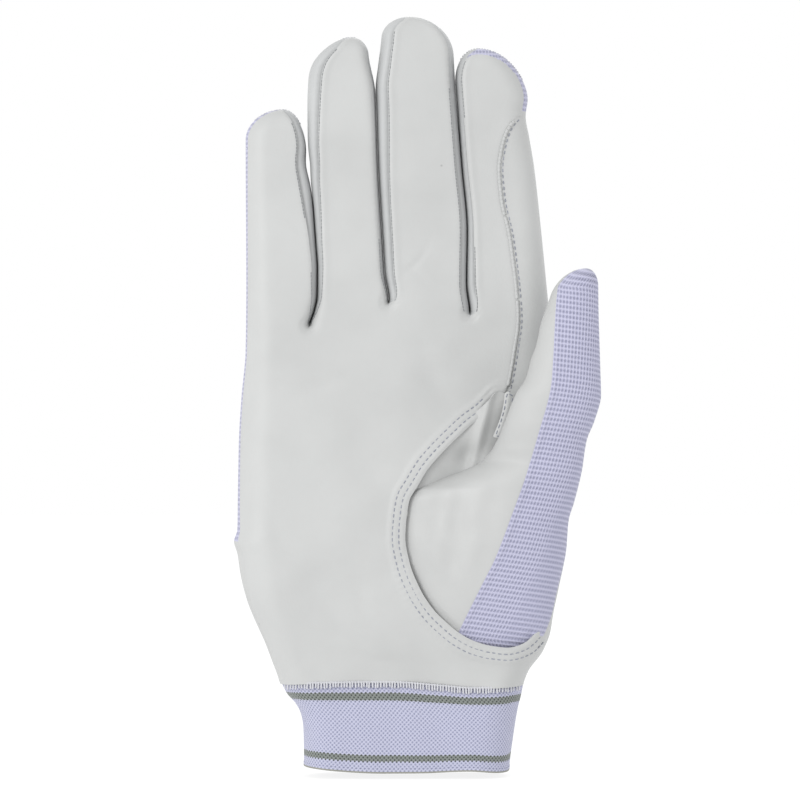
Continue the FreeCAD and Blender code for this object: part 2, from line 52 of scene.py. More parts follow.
class Curve:
    """A smooth curve through (position, value) pairs that never overshoots them."""

    def __init__(self, *points):
        points = sorted(points)
        self.x = np.array([p[0] for p in points], float)
        self.y = np.array([p[1] for p in points], float)
        h = np.diff(self.x)
        slope = np.diff(self.y) / h
        m = np.zeros_like(self.y)
        for i in range(1, len(m) - 1):
            if slope[i - 1] * slope[i] > 0:
                w1 = 2 * h[i] + h[i - 1]
                w2 = h[i] + 2 * h[i - 1]
                m[i] = (w1 + w2) / (w1 / slope[i - 1] + w2 / slope[i])
        m[0] = slope[0]
        m[-1] = slope[-1]
        self.m = m

    def __call__(self, t):
        t = np.clip(np.asarray(t, float), self.x[0], self.x[-1])
        i = np.clip(np.searchsorted(self.x, t) - 1, 0, len(self.x) - 2)
        h = self.x[i + 1] - self.x[i]
        s = (t - self.x[i]) / h
        return ((1 + 2 * s) * (1 - s) ** 2 * self.y[i] + s * (1 - s) ** 2 * h * self.m[i]
                + s * s * (3 - 2 * s) * self.y[i + 1] + s * s * (s - 1) * h * self.m[i + 1])


def smooth(t):
    t = np.clip(t, 0, 1)
    return t * t * (3 - 2 * t)


def bump(d, width):
    return np.exp(-(d / width) ** 2)


WAVES = [(rng.uniform(-1, 1), rng.uniform(-1, 1), rng.uniform(0, 6.28)) for _ in range(10)]


def undulation(x, z, scale):
    """A gentle irregular relief, about -1 to 1, whose features are about scale apart."""
    total = np.zeros(np.broadcast(x, z).shape)
    for kx, kz, phase in WAVES:
        wx = x + 0.35 * scale * np.sin(z / scale * 2.3 + phase)
        total = total + np.sin((kx * wx + kz * z) * 4.2 / scale + phase)
    return total / 4.0


# ---------------------------------------------------------------- the hand's outline and seams

HAND_LEFT = Curve((22, -37.6), (25, -38.4), (37, -42), (48, -46.8), (52, -48.3), (60, -50.3), (66, -51.2),
                  (69.5, -52.2), (73, -51.2), (85, -51), (100, -50.7), (112, -50), (127, -48.7),
                  (145, -48.5), (190, -48.7), (200, -48.5))
HAND_RIGHT = Curve((22, 34.0), (25, 34.6), (30, 36.3), (37, 40.6), (42, 42.6), (48, 43.6), (56, 45.3),
                   (66, 47.2), (73, 47.7), (85, 47.5), (100, 46.5), (112, 45), (127, 43.5), (145, 41.7),
                   (166, 39.6), (182, 37.8), (191, 36.3), (197, 35.3), (203, 36.0), (212, 35.4),
                   (220, 35.0))
SLITS = (
    Curve((22, -21.0), (60, -27.5), (110, -30), (134.4, -29.4), (138, -28.2), (143, -27.2), (151, -27.1),
          (159, -27.6), (170, -28.4), (186, -30.0), (200, -30.2), (212, -29.6), (222, -27.0)),
    Curve((22, -2.0), (60, -5.0), (110, -5.8), (141.3, -5.8), (150, -7.05), (159, -7.6), (182, -9.0),
          (204, -9.75), (213, -10.4), (228, -11.5)),
    Curve((22, 16.0), (60, 19.0), (110, 19.2), (138, 18.5), (147, 17.5), (162.6, 17.7), (182, 16.1),
          (197.5, 14.9), (208, 14.1), (218, 13.6), (228, 13.2)),
)
CROTCH = (134.4, 141.3, 138.0)
MIDDLE_LEFT = Curve((141, 0), (204, 0), (213, 1.5), (219, 2.7), (228, 4.0))
FINGERS = ("little", "ring", "middle", "index")
TIPS = {  # top, apex x, height of the rounding on the left and on the right
    "little": (198.9, -37.5, 9.0, 13.0),
    "ring": (220.6, -16.8, 12.5, 5.0),
    "middle": (226.8, 0.3, 6.0, 11.5),
    "index": (217.2, 21.0, 10.4, 16.5),
}
KNUCKLE_SPLIT = 142.0
MID_SPLIT = {"little": 161.5, "ring": 167.0, "middle": 169.0, "index": 167.0}
FRONT_DEPTH = Curve((22, 13.7), (30, 13.8), (40, 14.4), (56, 14.3), (73, 13.6), (98, 12.4), (120, 11.0),
                    (140, 9.7), (157, 8.9), (190, 8.3), (227, 7.2))
BACK_DEPTH = Curve((22, 13.7), (40, 14.2), (56, 14.1), (73, 13.6), (98, 12.6), (120, 11.3), (140, 10.0),
                   (157, 9.0), (190, 8.2), (227, 7.0))
EDGE_ROUND = Curve((22, 12.0), (60, 12.5), (100, 11.5), (130, 9.5), (150, 7.5), (190, 7.0), (227, 6.5))
INDEX_SEAM = Curve((80, 43.5), (90, 24.0), (94, 22.5), (100, 26.0), (112, 28.2), (116, 29.6), (126.3, 31.5),
                   (135.9, 32.7), (145.5, 32.1), (153, 31.2), (161.4, 30.0), (171.9, 27.7), (181, 27.0),
                   (186, 27.6), (191.5, 29.1), (195.5, 31.8), (197.6, 34.8), (199, 35.0))
TOUCHING_GAP = 0.02
SLIT_REACH = 4.6
TIP_REACH = 6.5
SLIT_POWER = Curve((130, 3.2), (140, 3.6), (148, 5.2), (190, 4.6), (205, 3.4), (228, 2.6))
SEAM_INSET_LEFT = {
    "little": Curve((22, 0.4), (50, 1.5), (66, 2.2), (72, 1.1), (80, 0.8), (130, 0.55), (190, 0.8),
                    (199, 1.4)),
    "ring": Curve((133.5, 0), (143, 1.2), (160, 1.7), (190, 3.2), (205, 3.9), (221, 4.2)),
    "middle": Curve((140.5, 0), (142, 1.9), (146, 2.6), (170, 2.9), (200, 3.6), (227, 3.5)),
    "index": Curve((137, 0), (138.5, 1.8), (144, 2.4), (165, 1.8), (205, 1.6), (218, 1.7)),
}
SEAM_INSET_RIGHT = {
    "little": Curve((133.5, 0), (142, 1.2), (160, 1.9), (175, 3.1), (187, 2.4), (199, 2.0)),
    "ring": Curve((140.5, 0), (150, 0.8), (190, 0.6), (221, 0.6)),
    "middle": Curve((137, 0), (138.5, 1.6), (146, 1.9), (190, 1.9), (227, 1.5)),
}
PALM_RIGHT_INSET = Curve((22, 0.2), (30, 0.4), (36, 2.6), (42, 2.4), (48, 1.2), (60, 4.0))
CUFF_SEAM = Curve((-40, 26.9), (-25, 27.7), (-5.7, 27.9), (10, 26.8), (19, 26.1), (34.8, 26.7))


def corner(d, radius, power=2.2):
    """The rounding's height, 0 to 1, at a distance d in from an edge."""
    t = np.clip(d / np.maximum(radius, 1e-9), 0, 1)
    return (1 - (1 - t) ** power) ** (1 / power)


def slit_gap(z, k):
    """Half the gap above a slit's crotch: the fingers touch, but for a chink beside the little finger."""
    chink = 0.38 * bump(z - 182.5, 4.2) if k == 0 else 0.0
    return (TOUCHING_GAP + chink) * np.where(z > CROTCH[k], 1, 0)


def lane_edges(i, z):
    """The left and right edge of a finger's lane at each height, from the wrist to the fingertip."""
    z = np.asarray(z, float)
    name = FINGERS[i]
    left = HAND_LEFT(z) if i == 0 else SLITS[i - 1](z) + slit_gap(z, i - 1)
    right = HAND_RIGHT(z) if i == 3 else SLITS[i](z) - slit_gap(z, i)
    if name == "middle":
        left = left + MIDDLE_LEFT(z)
    if name == "ring":
        right = right - 1.2 * smooth((z - 204) / 12)
    if name == "little":
        right = right - 0.4 * smooth((z - 172) / 12)
    top, apex, round_left, round_right = TIPS[name]
    sl = np.clip((z - (top - round_left)) / round_left, 0, 1)
    sr = np.clip((z - (top - round_right)) / round_right, 0, 1)
    left = apex + (left - apex) * np.sqrt(np.clip(1 - sl * sl, 0, 1))
    right = apex + (right - apex) * np.sqrt(np.clip(1 - sr * sr, 0, 1))
    return left, right


def lane_seams(i, z):
    """Where the front panel's two seams run in a lane."""
    name = FINGERS[i]
    left, right = lane_edges(i, z)
    width = right - left
    seam_left = left + np.minimum(SEAM_INSET_LEFT[name](z), width * 0.3)
    if name == "index":
        palm = right - PALM_RIGHT_INSET(z)
        seam = np.where(z < 80, palm, np.where(z > 198.2, right - 1.3, INDEX_SEAM(z)))
        seam_right = np.maximum(np.minimum(seam, right - 0.01), seam_left + 0.3 * width)
    else:
        seam_right = right - np.minimum(SEAM_INSET_RIGHT[name](z), width * 0.3)
    return seam_left, seam_right


def slit_round(z, width):
    """How far in from a slit a finger's rounding reaches: at the tip, at most half the finger's width."""
    return np.minimum(SLIT_REACH, np.where(z > 150, width * 0.5, SLIT_REACH))


def fullness(x, z, i):
    """0 at the outline and at the slits between the fingers, 1 where the glove has its full depth."""
    left, right = lane_edges(i, z)
    outer = EDGE_ROUND(z)
    total = np.ones(np.broadcast(x, z).shape) * corner(TIPS[FINGERS[i]][0] - z, TIP_REACH, 2.3)
    for at_outline, from_edge, from_outline, k in (
            (i == 0, x - left, x - HAND_LEFT(z), i - 1),
            (i == 3, right - x, HAND_RIGHT(z) - x, i)):
        if at_outline:
            total = total * corner(from_edge, np.minimum(outer, (right - left) * 0.5))
        else:
            from_crotch = np.hypot(x - SLITS[k](CROTCH[k]), z - CROTCH[k])
            d = np.where(z >= CROTCH[k], from_edge, from_crotch)
            total = total * corner(d, slit_round(z, right - left), SLIT_POWER(z))
            total = total * corner(from_outline, outer)
    return np.nan_to_num(total)


def pucker(along, across, pitch, width, depth):
    """A seam's groove with the small gathers that its stitches pull in."""
    gathers = 0.35 * np.cos(along * 6.283 / pitch) * bump(across, width * 2.2)
    return depth * (bump(across, width) + gathers)


# The edge of the opening in the palm that the thumb is set into, from its crotch round to the heel.
HOLE = np.array([
    (27.3, 111.9), (23.1, 107.7), (18.3, 104.1), (14.1, 100.2), (9.9, 96.0), (6.0, 91.5), (2.7, 86.1),
    (0.4, 82.0), (-0.5, 76.2), (-0.8, 71.0), (0.4, 63.9), (3.6, 55.8), (7.5, 49.8), (11.4, 45.9),
    (15.3, 42.7), (20.1, 40.2), (25.0, 38.9), (29.6, 38.4), (34.2, 39.6), (38.0, 42.8), (41.9, 47.9)])
HOLE_RUN = np.concatenate([[0], np.cumsum(np.hypot(*np.diff(HOLE, axis=0).T))])
HOLE_X = Curve(*zip(HOLE_RUN, HOLE[:, 0]))
HOLE_Z = Curve(*zip(HOLE_RUN, HOLE[:, 1]))
HOLE_LENGTH = HOLE_RUN[-1]
HOLE_STEPS = np.linspace(0, HOLE_LENGTH, 220)
HOLE_LINE = np.stack([HOLE_X(HOLE_STEPS), HOLE_Z(HOLE_STEPS)], 1)
HOLE_LOOP = np.vstack([HOLE_LINE, [(60, 52.0), (60, 112.5)]])


def hole_distance(x, z):
    """Distance from the hole's edge, positive on the palm and negative in the hole, and how far along it."""
    shape = np.broadcast(x, z).shape
    px = np.broadcast_to(x, shape).ravel()
    pz = np.broadcast_to(z, shape).ravel()
    best = np.full(px.shape, 1e9)
    along = np.zeros(px.shape)
    travelled = 0.0
    for (ax, az), (bx, bz) in zip(HOLE_LINE[:-1], HOLE_LINE[1:]):
        dx, dz = bx - ax, bz - az
        length = math.hypot(dx, dz)
        t = np.clip(((px - ax) * dx + (pz - az) * dz) / length ** 2, 0, 1)
        d = np.hypot(px - ax - t * dx, pz - az - t * dz)
        near = d < best
        best = np.where(near, d, best)
        along = np.where(near, travelled + t * length, along)
        travelled += length
    inside = np.zeros(px.shape, bool)
    for (ax, az), (bx, bz) in zip(HOLE_LOOP, np.roll(HOLE_LOOP, -1, axis=0)):
        crosses = (az > pz) != (bz > pz)
        xi = ax + (pz - az) / np.where(abs(bz - az) < 1e-9, 1e-9, bz - az) * (bx - ax)
        inside ^= crosses & (px < xi)
    return np.where(inside, -best, best).reshape(shape), along.reshape(shape)


def crease_line(x, z, x0, z0, x1, z1, width, depth):
    """A soft crease in the leather from one point to another, deepest half way along."""
    length = math.hypot(x1 - x0, z1 - z0)
    ux, uz = (x1 - x0) / length, (z1 - z0) / length
    along = (x - x0) * ux + (z - z0) * uz
    across = (x - x0) * uz - (z - z0) * ux + 0.6 * np.sin(along * 0.35)
    return -depth * bump(across, width) * bump(along - length / 2, length / 2.2)


PALM_CREASES = (
    (-30, 50, -4, 41, 2.6, 0.35), (-24, 36, 6, 33, 2.2, 0.30), (-44, 78, -30, 60, 3.0, 0.30),
    (-36, 112, -14, 121, 2.8, 0.28), (-8, 124, 18, 118, 3.2, 0.40), (2, 133, 12, 108, 4.0, 0.45),
    (6, 158, -1, 149, 1.0, 0.30), (-4, 153, 7, 147, 1.2, 0.25), (-38, 166, -31, 162, 1.3, 0.22),
    (-22, 84, -6, 96, 3.4, 0.25), (14, 34, 30, 31, 1.8, 0.30), (-16, 62, -12, 44, 2.4, 0.22),
)


def palm_relief(x, z):
    """The hollow of the palm, the soft pad below it and the creases that wear leaves."""
    hollow = -0.9 * bump(np.hypot((x - 8) / 18, (z - 120) / 17), 1.0)
    pad = 0.5 * bump(np.hypot((x + 22) / 16, (z - 88) / 26), 1.0)
    slope = -2.6 * smooth((x + 4) / 32) * bump(z - 120, 24)
    total = hollow + pad + slope
    for slit, height in zip(SLITS, CROTCH):
        away = np.hypot(x - slit(height), (z - height) * 0.9)
        total = total - 0.30 * bump(away - 2.3, 0.35) * smooth((height + 3.0 - z) / 2.5)
    for line in PALM_CREASES:
        total = total + crease_line(x, z, *line)
    return total


def front_depth(x, z, i, panel):
    """How far forward the hand's front surface stands at a point."""
    f = fullness(x, z, i)
    depth = FRONT_DEPTH(z) * f
    depth = depth + f * (0.55 * undulation(x, z, 34.0) + 0.16 * undulation(x + 9, z - 4, 12.0))
    depth = depth + f * palm_relief(x, z)
    seam_left, seam_right = lane_seams(i, z)
    rise = np.clip(f * 1.5, 0, 1)
    grow = smooth((z - 136) / 10) if i else smooth((z - 60) / 10)
    depth = depth - grow * rise * pucker(z, x - seam_left, 2.4, 0.45, 0.22)
    if panel == "left" and i > 0:
        depth = depth - 1.0 * smooth((z - 139) / 7) * rise
    if panel == "front" and i > 0:
        depth = depth + 0.25 * smooth((z - 140) / 8) * rise * bump(x - seam_left - 1.1, 1.0)
    if i < 3:
        grow = smooth((z - 136) / 10)
        depth = depth - grow * rise * pucker(z, x - seam_right, 2.4, 0.45, 0.22)
        if panel == "right":
            depth = depth - 1.0 * smooth((z - 139) / 7) * rise
    else:
        across = x - INDEX_SEAM(z)
        near = smooth((z - 94) / 6) * (1 - smooth((z - 196) / 3))
        if panel == "front":
            inward = np.minimum(across, 0)
            fold = 0.50 * np.exp(inward / 1.7) * (1 - np.exp(inward / 0.8))
        else:
            fold = 0.0
        gathers = 0.12 * np.cos(z * 6.283 / 2.0) * bump(across - 0.9, 1.3)
        depth = depth + near * (fold + gathers)
    if panel == "front":
        d, along = hole_distance(x, z)
        hem = 0.55 * (1 - smooth((d - 4.3) / 1.6)) * smooth((d + 0.2) / 0.9)
        rows = 0.22 * bump(d - 2.0, 0.42) + 0.22 * bump(d - 3.9, 0.42)
        gathers = 0.07 * np.cos(along * 6.283 / 1.8) * bump(d - 3.0, 2.4)
        depth = depth + np.where(d > -1, hem - rows + gathers, 0)
    return depth


def back_depth(x, z, i):
    f = fullness(x, z, i)
    depth = BACK_DEPTH(z) * f + f * 0.3 * undulation(x - 20, z + 13, 40.0)
    yoke = (1 - smooth((z - 69.2) / 0.8)) * 0.35
    seam = bump(z - 70.0, 0.7) * 0.45
    knuckles = 0.5 * f * bump(z - 146, 9)
    return depth + yoke * f - seam * f + knuckles


def wrist_warp(x, z):
    """Bends the lowest rows to the wavy seam that joins the cuff."""
    return z + (CUFF_SEAM(x) - 25.0) * (1 - smooth((z - 25.0) / 12.0))


# ---------------------------------------------------------------- meshes

class Sheet:
    """Triangles with a smooth normal, a fabric coordinate and a material number for each."""

    def __init__(self):
        self.points = np.zeros((0, 3))
        self.uv = np.zeros((0, 2))
        self.faces = np.zeros((0, 3), int)
        self.kind = np.zeros(0, int)
        self.normals = None

    def add(self, points, faces, uv, kind):
        offset = len(self.points)
        self.points = np.vstack([self.points, points])
        self.uv = np.vstack([self.uv, uv])
        self.faces = np.vstack([self.faces, faces + offset])
        self.kind = np.concatenate([self.kind, np.full(len(faces), kind) if np.isscalar(kind) else kind])

    def weld(self):
        key = np.round(self.points * 2000).astype(np.int64)
        _, first, inverse = np.unique(key, axis=0, return_index=True, return_inverse=True)
        self.points = self.points[first]
        self.uv = self.uv[first]
        self.faces = inverse.ravel()[self.faces]
        self.drop_slivers()

    def drop_slivers(self):
        a, b, c = (self.points[self.faces[:, k]] for k in range(3))
        area = np.linalg.norm(np.cross(b - a, c - a), axis=1)
        keep = area > 1e-5
        self.faces = self.faces[keep]
        self.kind = self.kind[keep]

    def smooth_normals(self):
        a, b, c = (self.points[self.faces[:, k]] for k in range(3))
        n = np.cross(b - a, c - a)
        total = np.zeros_like(self.points)
        for k in range(3):
            np.add.at(total, self.faces[:, k], n)
        length = np.linalg.norm(total, axis=1, keepdims=True)
        self.normals = total / np.where(length < 1e-12, 1, length)

    def part(self, wanted):
        """The faces picked by a mask, with only the points that they use."""
        out = Sheet()
        faces = self.faces[wanted]
        used = np.unique(faces)
        back = np.full(len(self.points), -1)
        back[used] = np.arange(len(used))
        out.points = self.points[used]
        out.uv = self.uv[used]
        out.normals = self.normals[used]
        out.faces = back[faces]
        out.kind = self.kind[wanted]
        return out

    def clip(self, field):
        """Keeps the side where field is positive, cut exactly along its zero line."""
        points, uv, normals = [list(a) for a in (self.points, self.uv, self.normals)]
        made = {}

        def between(p, q):
            key = (min(p, q), max(p, q))
            if key not in made:
                t = field[p] / (field[p] - field[q])
                made[key] = len(points)
                points.append(points[p] * (1 - t) + points[q] * t)
                uv.append(uv[p] * (1 - t) + uv[q] * t)
                normals.append(normals[p] * (1 - t) + normals[q] * t)
            return made[key]

        keep = field[self.faces] > 0
        count = keep.sum(1)
        faces = [self.faces[count == 3]]
        kinds = [self.kind[count == 3]]
        for number in np.where((count == 1) | (count == 2))[0]:
            tri = list(self.faces[number])
            flags = list(keep[number])
            while flags[0] == flags[1] or flags[0] == flags[2]:
                tri = tri[1:] + tri[:1]
                flags = flags[1:] + flags[:1]
            p, q, r = tri
            pq = between(p, q)
            rp = between(r, p)
            new = [(p, pq, rp)] if flags[0] else [(pq, q, r), (pq, r, rp)]
            faces.append(np.array(new))
            kinds.append(np.full(len(new), self.kind[number]))
        self.points, self.uv, self.normals = (np.array(a) for a in (points, uv, normals))
        self.faces = np.vstack(faces)
        self.kind = np.concatenate(kinds)
        self.drop_slivers()


def grid(rows, cols, flip=False):
    r, c = np.meshgrid(np.arange(rows - 1), np.arange(cols - 1), indexing="ij")
    a = (r * cols + c).ravel()
    b = a + 1
    d = a + cols
    e = d + 1
    tris = np.concatenate([np.stack([a, b, e], 1), np.stack([a, e, d], 1)])
    return tris[:, ::-1] if flip else tris


def material_slots(obj, names):
    for name in names:
        obj.data.materials.append(MATERIALS[name])


def make_object(name, sheet, materials, thickness=0.0, extra=None):
    """Builds the mesh: the sheet, its inner side and edges if it has a thickness, and any thread on it."""
    points = sheet.points
    count = len(points)
    tris = sheet.faces
    corner_normals = sheet.normals[tris]
    kinds = sheet.kind
    uv = sheet.uv[tris]
    if thickness:
        inner = points - sheet.normals * thickness
        points = np.vstack([points, inner])
        inside = tris[:, ::-1] + count
        edges = np.concatenate([tris[:, [0, 1]], tris[:, [1, 2]], tris[:, [2, 0]]])
        edge_kind = np.concatenate([kinds] * 3)
        key = np.sort(edges, axis=1)
        _, index, times = np.unique(key, axis=0, return_index=True, return_counts=True)
        rim = edges[index[times == 1]]
        rim_kind = edge_kind[index[times == 1]]
        p, q = rim[:, 0], rim[:, 1]
        rim_faces = np.concatenate([np.stack([q, p, p + count], 1), np.stack([q, p + count, q + count], 1)])
        along = points[q] - points[p]
        rim_normal = np.cross(along, sheet.normals[p])
        rim_normal /= np.maximum(np.linalg.norm(rim_normal, axis=1, keepdims=True), 1e-9)
        rim_normal = np.concatenate([rim_normal, rim_normal])
        all_uv = np.vstack([sheet.uv, sheet.uv])
        corner_normals = np.concatenate([corner_normals, -sheet.normals[tris[:, ::-1]],
                                         np.repeat(rim_normal[:, None, :], 3, axis=1)])
        uv = np.concatenate([uv, sheet.uv[tris[:, ::-1]], all_uv[rim_faces]])
        tris = np.vstack([tris, inside, rim_faces])
        kinds = np.concatenate([kinds, kinds, rim_kind, rim_kind])
    if extra is not None and len(extra.faces):
        tris = np.vstack([tris, extra.faces + len(points)])
        points = np.vstack([points, extra.points])
        corner_normals = np.concatenate([corner_normals, extra.normals[extra.faces]])
        uv = np.concatenate([uv, extra.uv[extra.faces]])
        kinds = np.concatenate([kinds, extra.kind])
    mesh = bpy.data.meshes.new(name)
    mesh.vertices.add(len(points))
    mesh.vertices.foreach_set("co", (points * MM).astype(np.float32).ravel())
    mesh.loops.add(len(tris) * 3)
    mesh.loops.foreach_set("vertex_index", tris.astype(np.int32).ravel())
    mesh.polygons.add(len(tris))
    mesh.polygons.foreach_set("loop_start", np.arange(0, len(tris) * 3, 3, dtype=np.int32))
    mesh.polygons.foreach_set("material_index", kinds.astype(np.int32))
    mesh.polygons.foreach_set("use_smooth", np.ones(len(tris), bool))
    layer = mesh.uv_layers.new(name="cloth")
    layer.data.foreach_set("uv", uv.astype(np.float32).ravel())
    mesh.update(calc_edges=True)
    mesh.validate(clean_customdata=False)
    if len(mesh.loops) == len(tris) * 3:
        mesh.normals_split_custom_set(corner_normals.reshape(-1, 3))
    obj = bpy.data.objects.new(name, mesh)
    bpy.context.scene.collection.objects.link(obj)
    material_slots(obj, materials)
    return obj


def place_in_frame(obj, node, body="hand"):
    """Stands a finished piece in for its node, moving with one body."""
    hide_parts(node)
    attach(obj, body)


def capsules(starts, ends, ups, radius, kind=0, sides=6):
    """Small rounded stitches from each start to its end, flattened a little along up."""
    sheet = Sheet()
    sheet.normals = np.zeros((0, 3))
    stations = ((0.0, 0.15), (0.06, 0.75), (0.2, 1.0), (0.8, 1.0), (0.94, 0.75), (1.0, 0.15))
    angles = np.arange(sides) * 2 * np.pi / sides
    points, normals, faces = [], [], []
    ring = len(stations)
    offset = 0
    for start, end, up in zip(starts, ends, ups):
        axis = end - start
        length = np.linalg.norm(axis)
        axis = axis / max(length, 1e-9)
        side = np.cross(axis, up)
        side = side / max(np.linalg.norm(side), 1e-9)
        over = np.cross(side, axis)
        for t, r in stations:
            for angle in angles:
                away = side * math.cos(angle) + over * math.sin(angle)
                sag = -0.45 * radius * (2 * t - 1) ** 2
                points.append(start + axis * length * t + away * radius * r + up * sag)
                normals.append(away)
        for s in range(ring - 1):
            for k in range(sides):
                a = offset + s * sides + k
                b = offset + s * sides + (k + 1) % sides
                faces += [(a, b, b + sides), (a, b + sides, a + sides)]
        for base, order in ((offset, -1), (offset + (ring - 1) * sides, 1)):
            cap = [base + k for k in range(sides)][::order]
            faces += [(cap[0], cap[k], cap[k + 1]) for k in range(1, sides - 1)]
        offset += ring * sides
    sheet.points = np.array(points)
    sheet.normals = np.array(normals)
    sheet.uv = sheet.points[:, [0, 2]]
    sheet.faces = np.array(faces)[:, ::-1]
    sheet.kind = np.full(len(sheet.faces), kind)
    return sheet


def join(*sheets):
    out = Sheet()
    out.normals = np.zeros((0, 3))
    for sheet in sheets:
        offset = len(out.points)
        out.points = np.vstack([out.points, sheet.points])
        out.normals = np.vstack([out.normals, sheet.normals])
        out.uv = np.vstack([out.uv, sheet.uv])
        out.faces = np.vstack([out.faces, sheet.faces + offset])
        out.kind = np.concatenate([out.kind, sheet.kind])
    return out


# ---------------------------------------------------------------- materials

MATERIALS = {}


def new_material(name, roughness=0.6, sheen=0.0, specular=0.4):
    mat = bpy.data.materials.new(name)
    mat.use_nodes = True
    tree = mat.node_tree
    shader = tree.nodes["Principled BSDF"]
    shader.inputs["Roughness"].default_value = roughness
    shader.inputs["Specular IOR Level"].default_value = specular
    shader.inputs["Sheen Weight"].default_value = sheen
    shader.inputs["Sheen Roughness"].default_value = 0.4
    MATERIALS[name] = mat
    return tree, shader


def math_node(tree, operation, a, b=None):
    node = tree.nodes.new("ShaderNodeMath")
    node.operation = operation
    for socket, value in zip(node.inputs, (a, b)):
        if value is None:
            continue
        if isinstance(value, (int, float)):
            socket.default_value = value
        else:
            tree.links.new(value, socket)
    return node.outputs[0]


def noise(tree, vector, scale, detail=3.0, roughness=0.55):
    node = tree.nodes.new("ShaderNodeTexNoise")
    node.inputs["Scale"].default_value = scale
    node.inputs["Detail"].default_value = detail
    node.inputs["Roughness"].default_value = roughness
    tree.links.new(vector, node.inputs["Vector"])
    return node.outputs["Fac"]


def ramp(tree, value, *stops):
    node = tree.nodes.new("ShaderNodeValToRGB")
    elements = node.color_ramp.elements
    while len(elements) < len(stops):
        elements.new(0.5)
    for element, (position, colour) in zip(elements, stops):
        element.position = position
        element.color = (*colour, 1.0)
    tree.links.new(value, node.inputs["Fac"])
    return node.outputs["Color"]


def bump_node(tree, shader, height, strength, distance):
    node = tree.nodes.new("ShaderNodeBump")
    node.inputs["Strength"].default_value = strength
    node.inputs["Distance"].default_value = distance
    tree.links.new(height, node.inputs["Height"])
    tree.links.new(node.outputs["Normal"], shader.inputs["Normal"])


def object_coordinates(tree):
    return tree.nodes.new("ShaderNodeTexCoord").outputs["Object"]


def leather(name, colour, roughness=0.52):
    """Soft dressed leather: cloudy tone, tiny pores, faint creases and a few specks."""
    tree, shader = new_material(name, roughness=roughness, specular=0.35)
    where = object_coordinates(tree)
    cloud = noise(tree, where, 38.0, 4.0)
    dark = tuple(c * 0.935 for c in colour)
    tone = ramp(tree, cloud, (0.32, dark), (0.62, colour), (0.8, tuple(min(1.0, c * 1.015) for c in colour)))
    specks = tree.nodes.new("ShaderNodeTexVoronoi")
    specks.inputs["Scale"].default_value = 120.0
    tree.links.new(where, specks.inputs["Vector"])
    dot = math_node(tree, "LESS_THAN", specks.outputs["Distance"], 0.042)
    some = math_node(tree, "GREATER_THAN", noise(tree, where, 90.0, 1.0), 0.60)
    mask = math_node(tree, "MULTIPLY", dot, some)
    mixer = tree.nodes.new("ShaderNodeMix")
    mixer.data_type = "RGBA"
    tree.links.new(math_node(tree, "MULTIPLY", mask, 0.5), mixer.inputs[0])
    tree.links.new(tone, mixer.inputs[6])
    mixer.inputs[7].default_value = (*(c * 0.45 for c in colour), 1.0)
    tree.links.new(mixer.outputs[2], shader.inputs["Base Color"])
    pores = tree.nodes.new("ShaderNodeTexVoronoi")
    pores.inputs["Scale"].default_value = 1500.0
    tree.links.new(where, pores.inputs["Vector"])
    height = math_node(tree, "ADD", math_node(tree, "MULTIPLY", pores.outputs["Distance"], 0.35),
                       noise(tree, where, 260.0, 5.0, 0.6))
    bump_node(tree, shader, height, 0.35, 0.00012)


def uv_axes(tree, u_pitch, v_pitch):
    uv = tree.nodes.new("ShaderNodeUVMap")
    uv.uv_map = "cloth"
    split = tree.nodes.new("ShaderNodeSeparateXYZ")
    tree.links.new(uv.outputs["UV"], split.inputs[0])
    u = math_node(tree, "MULTIPLY", split.outputs[0], math.pi / u_pitch)
    v = math_node(tree, "MULTIPLY", split.outputs[1], math.pi / v_pitch)
    return u, v


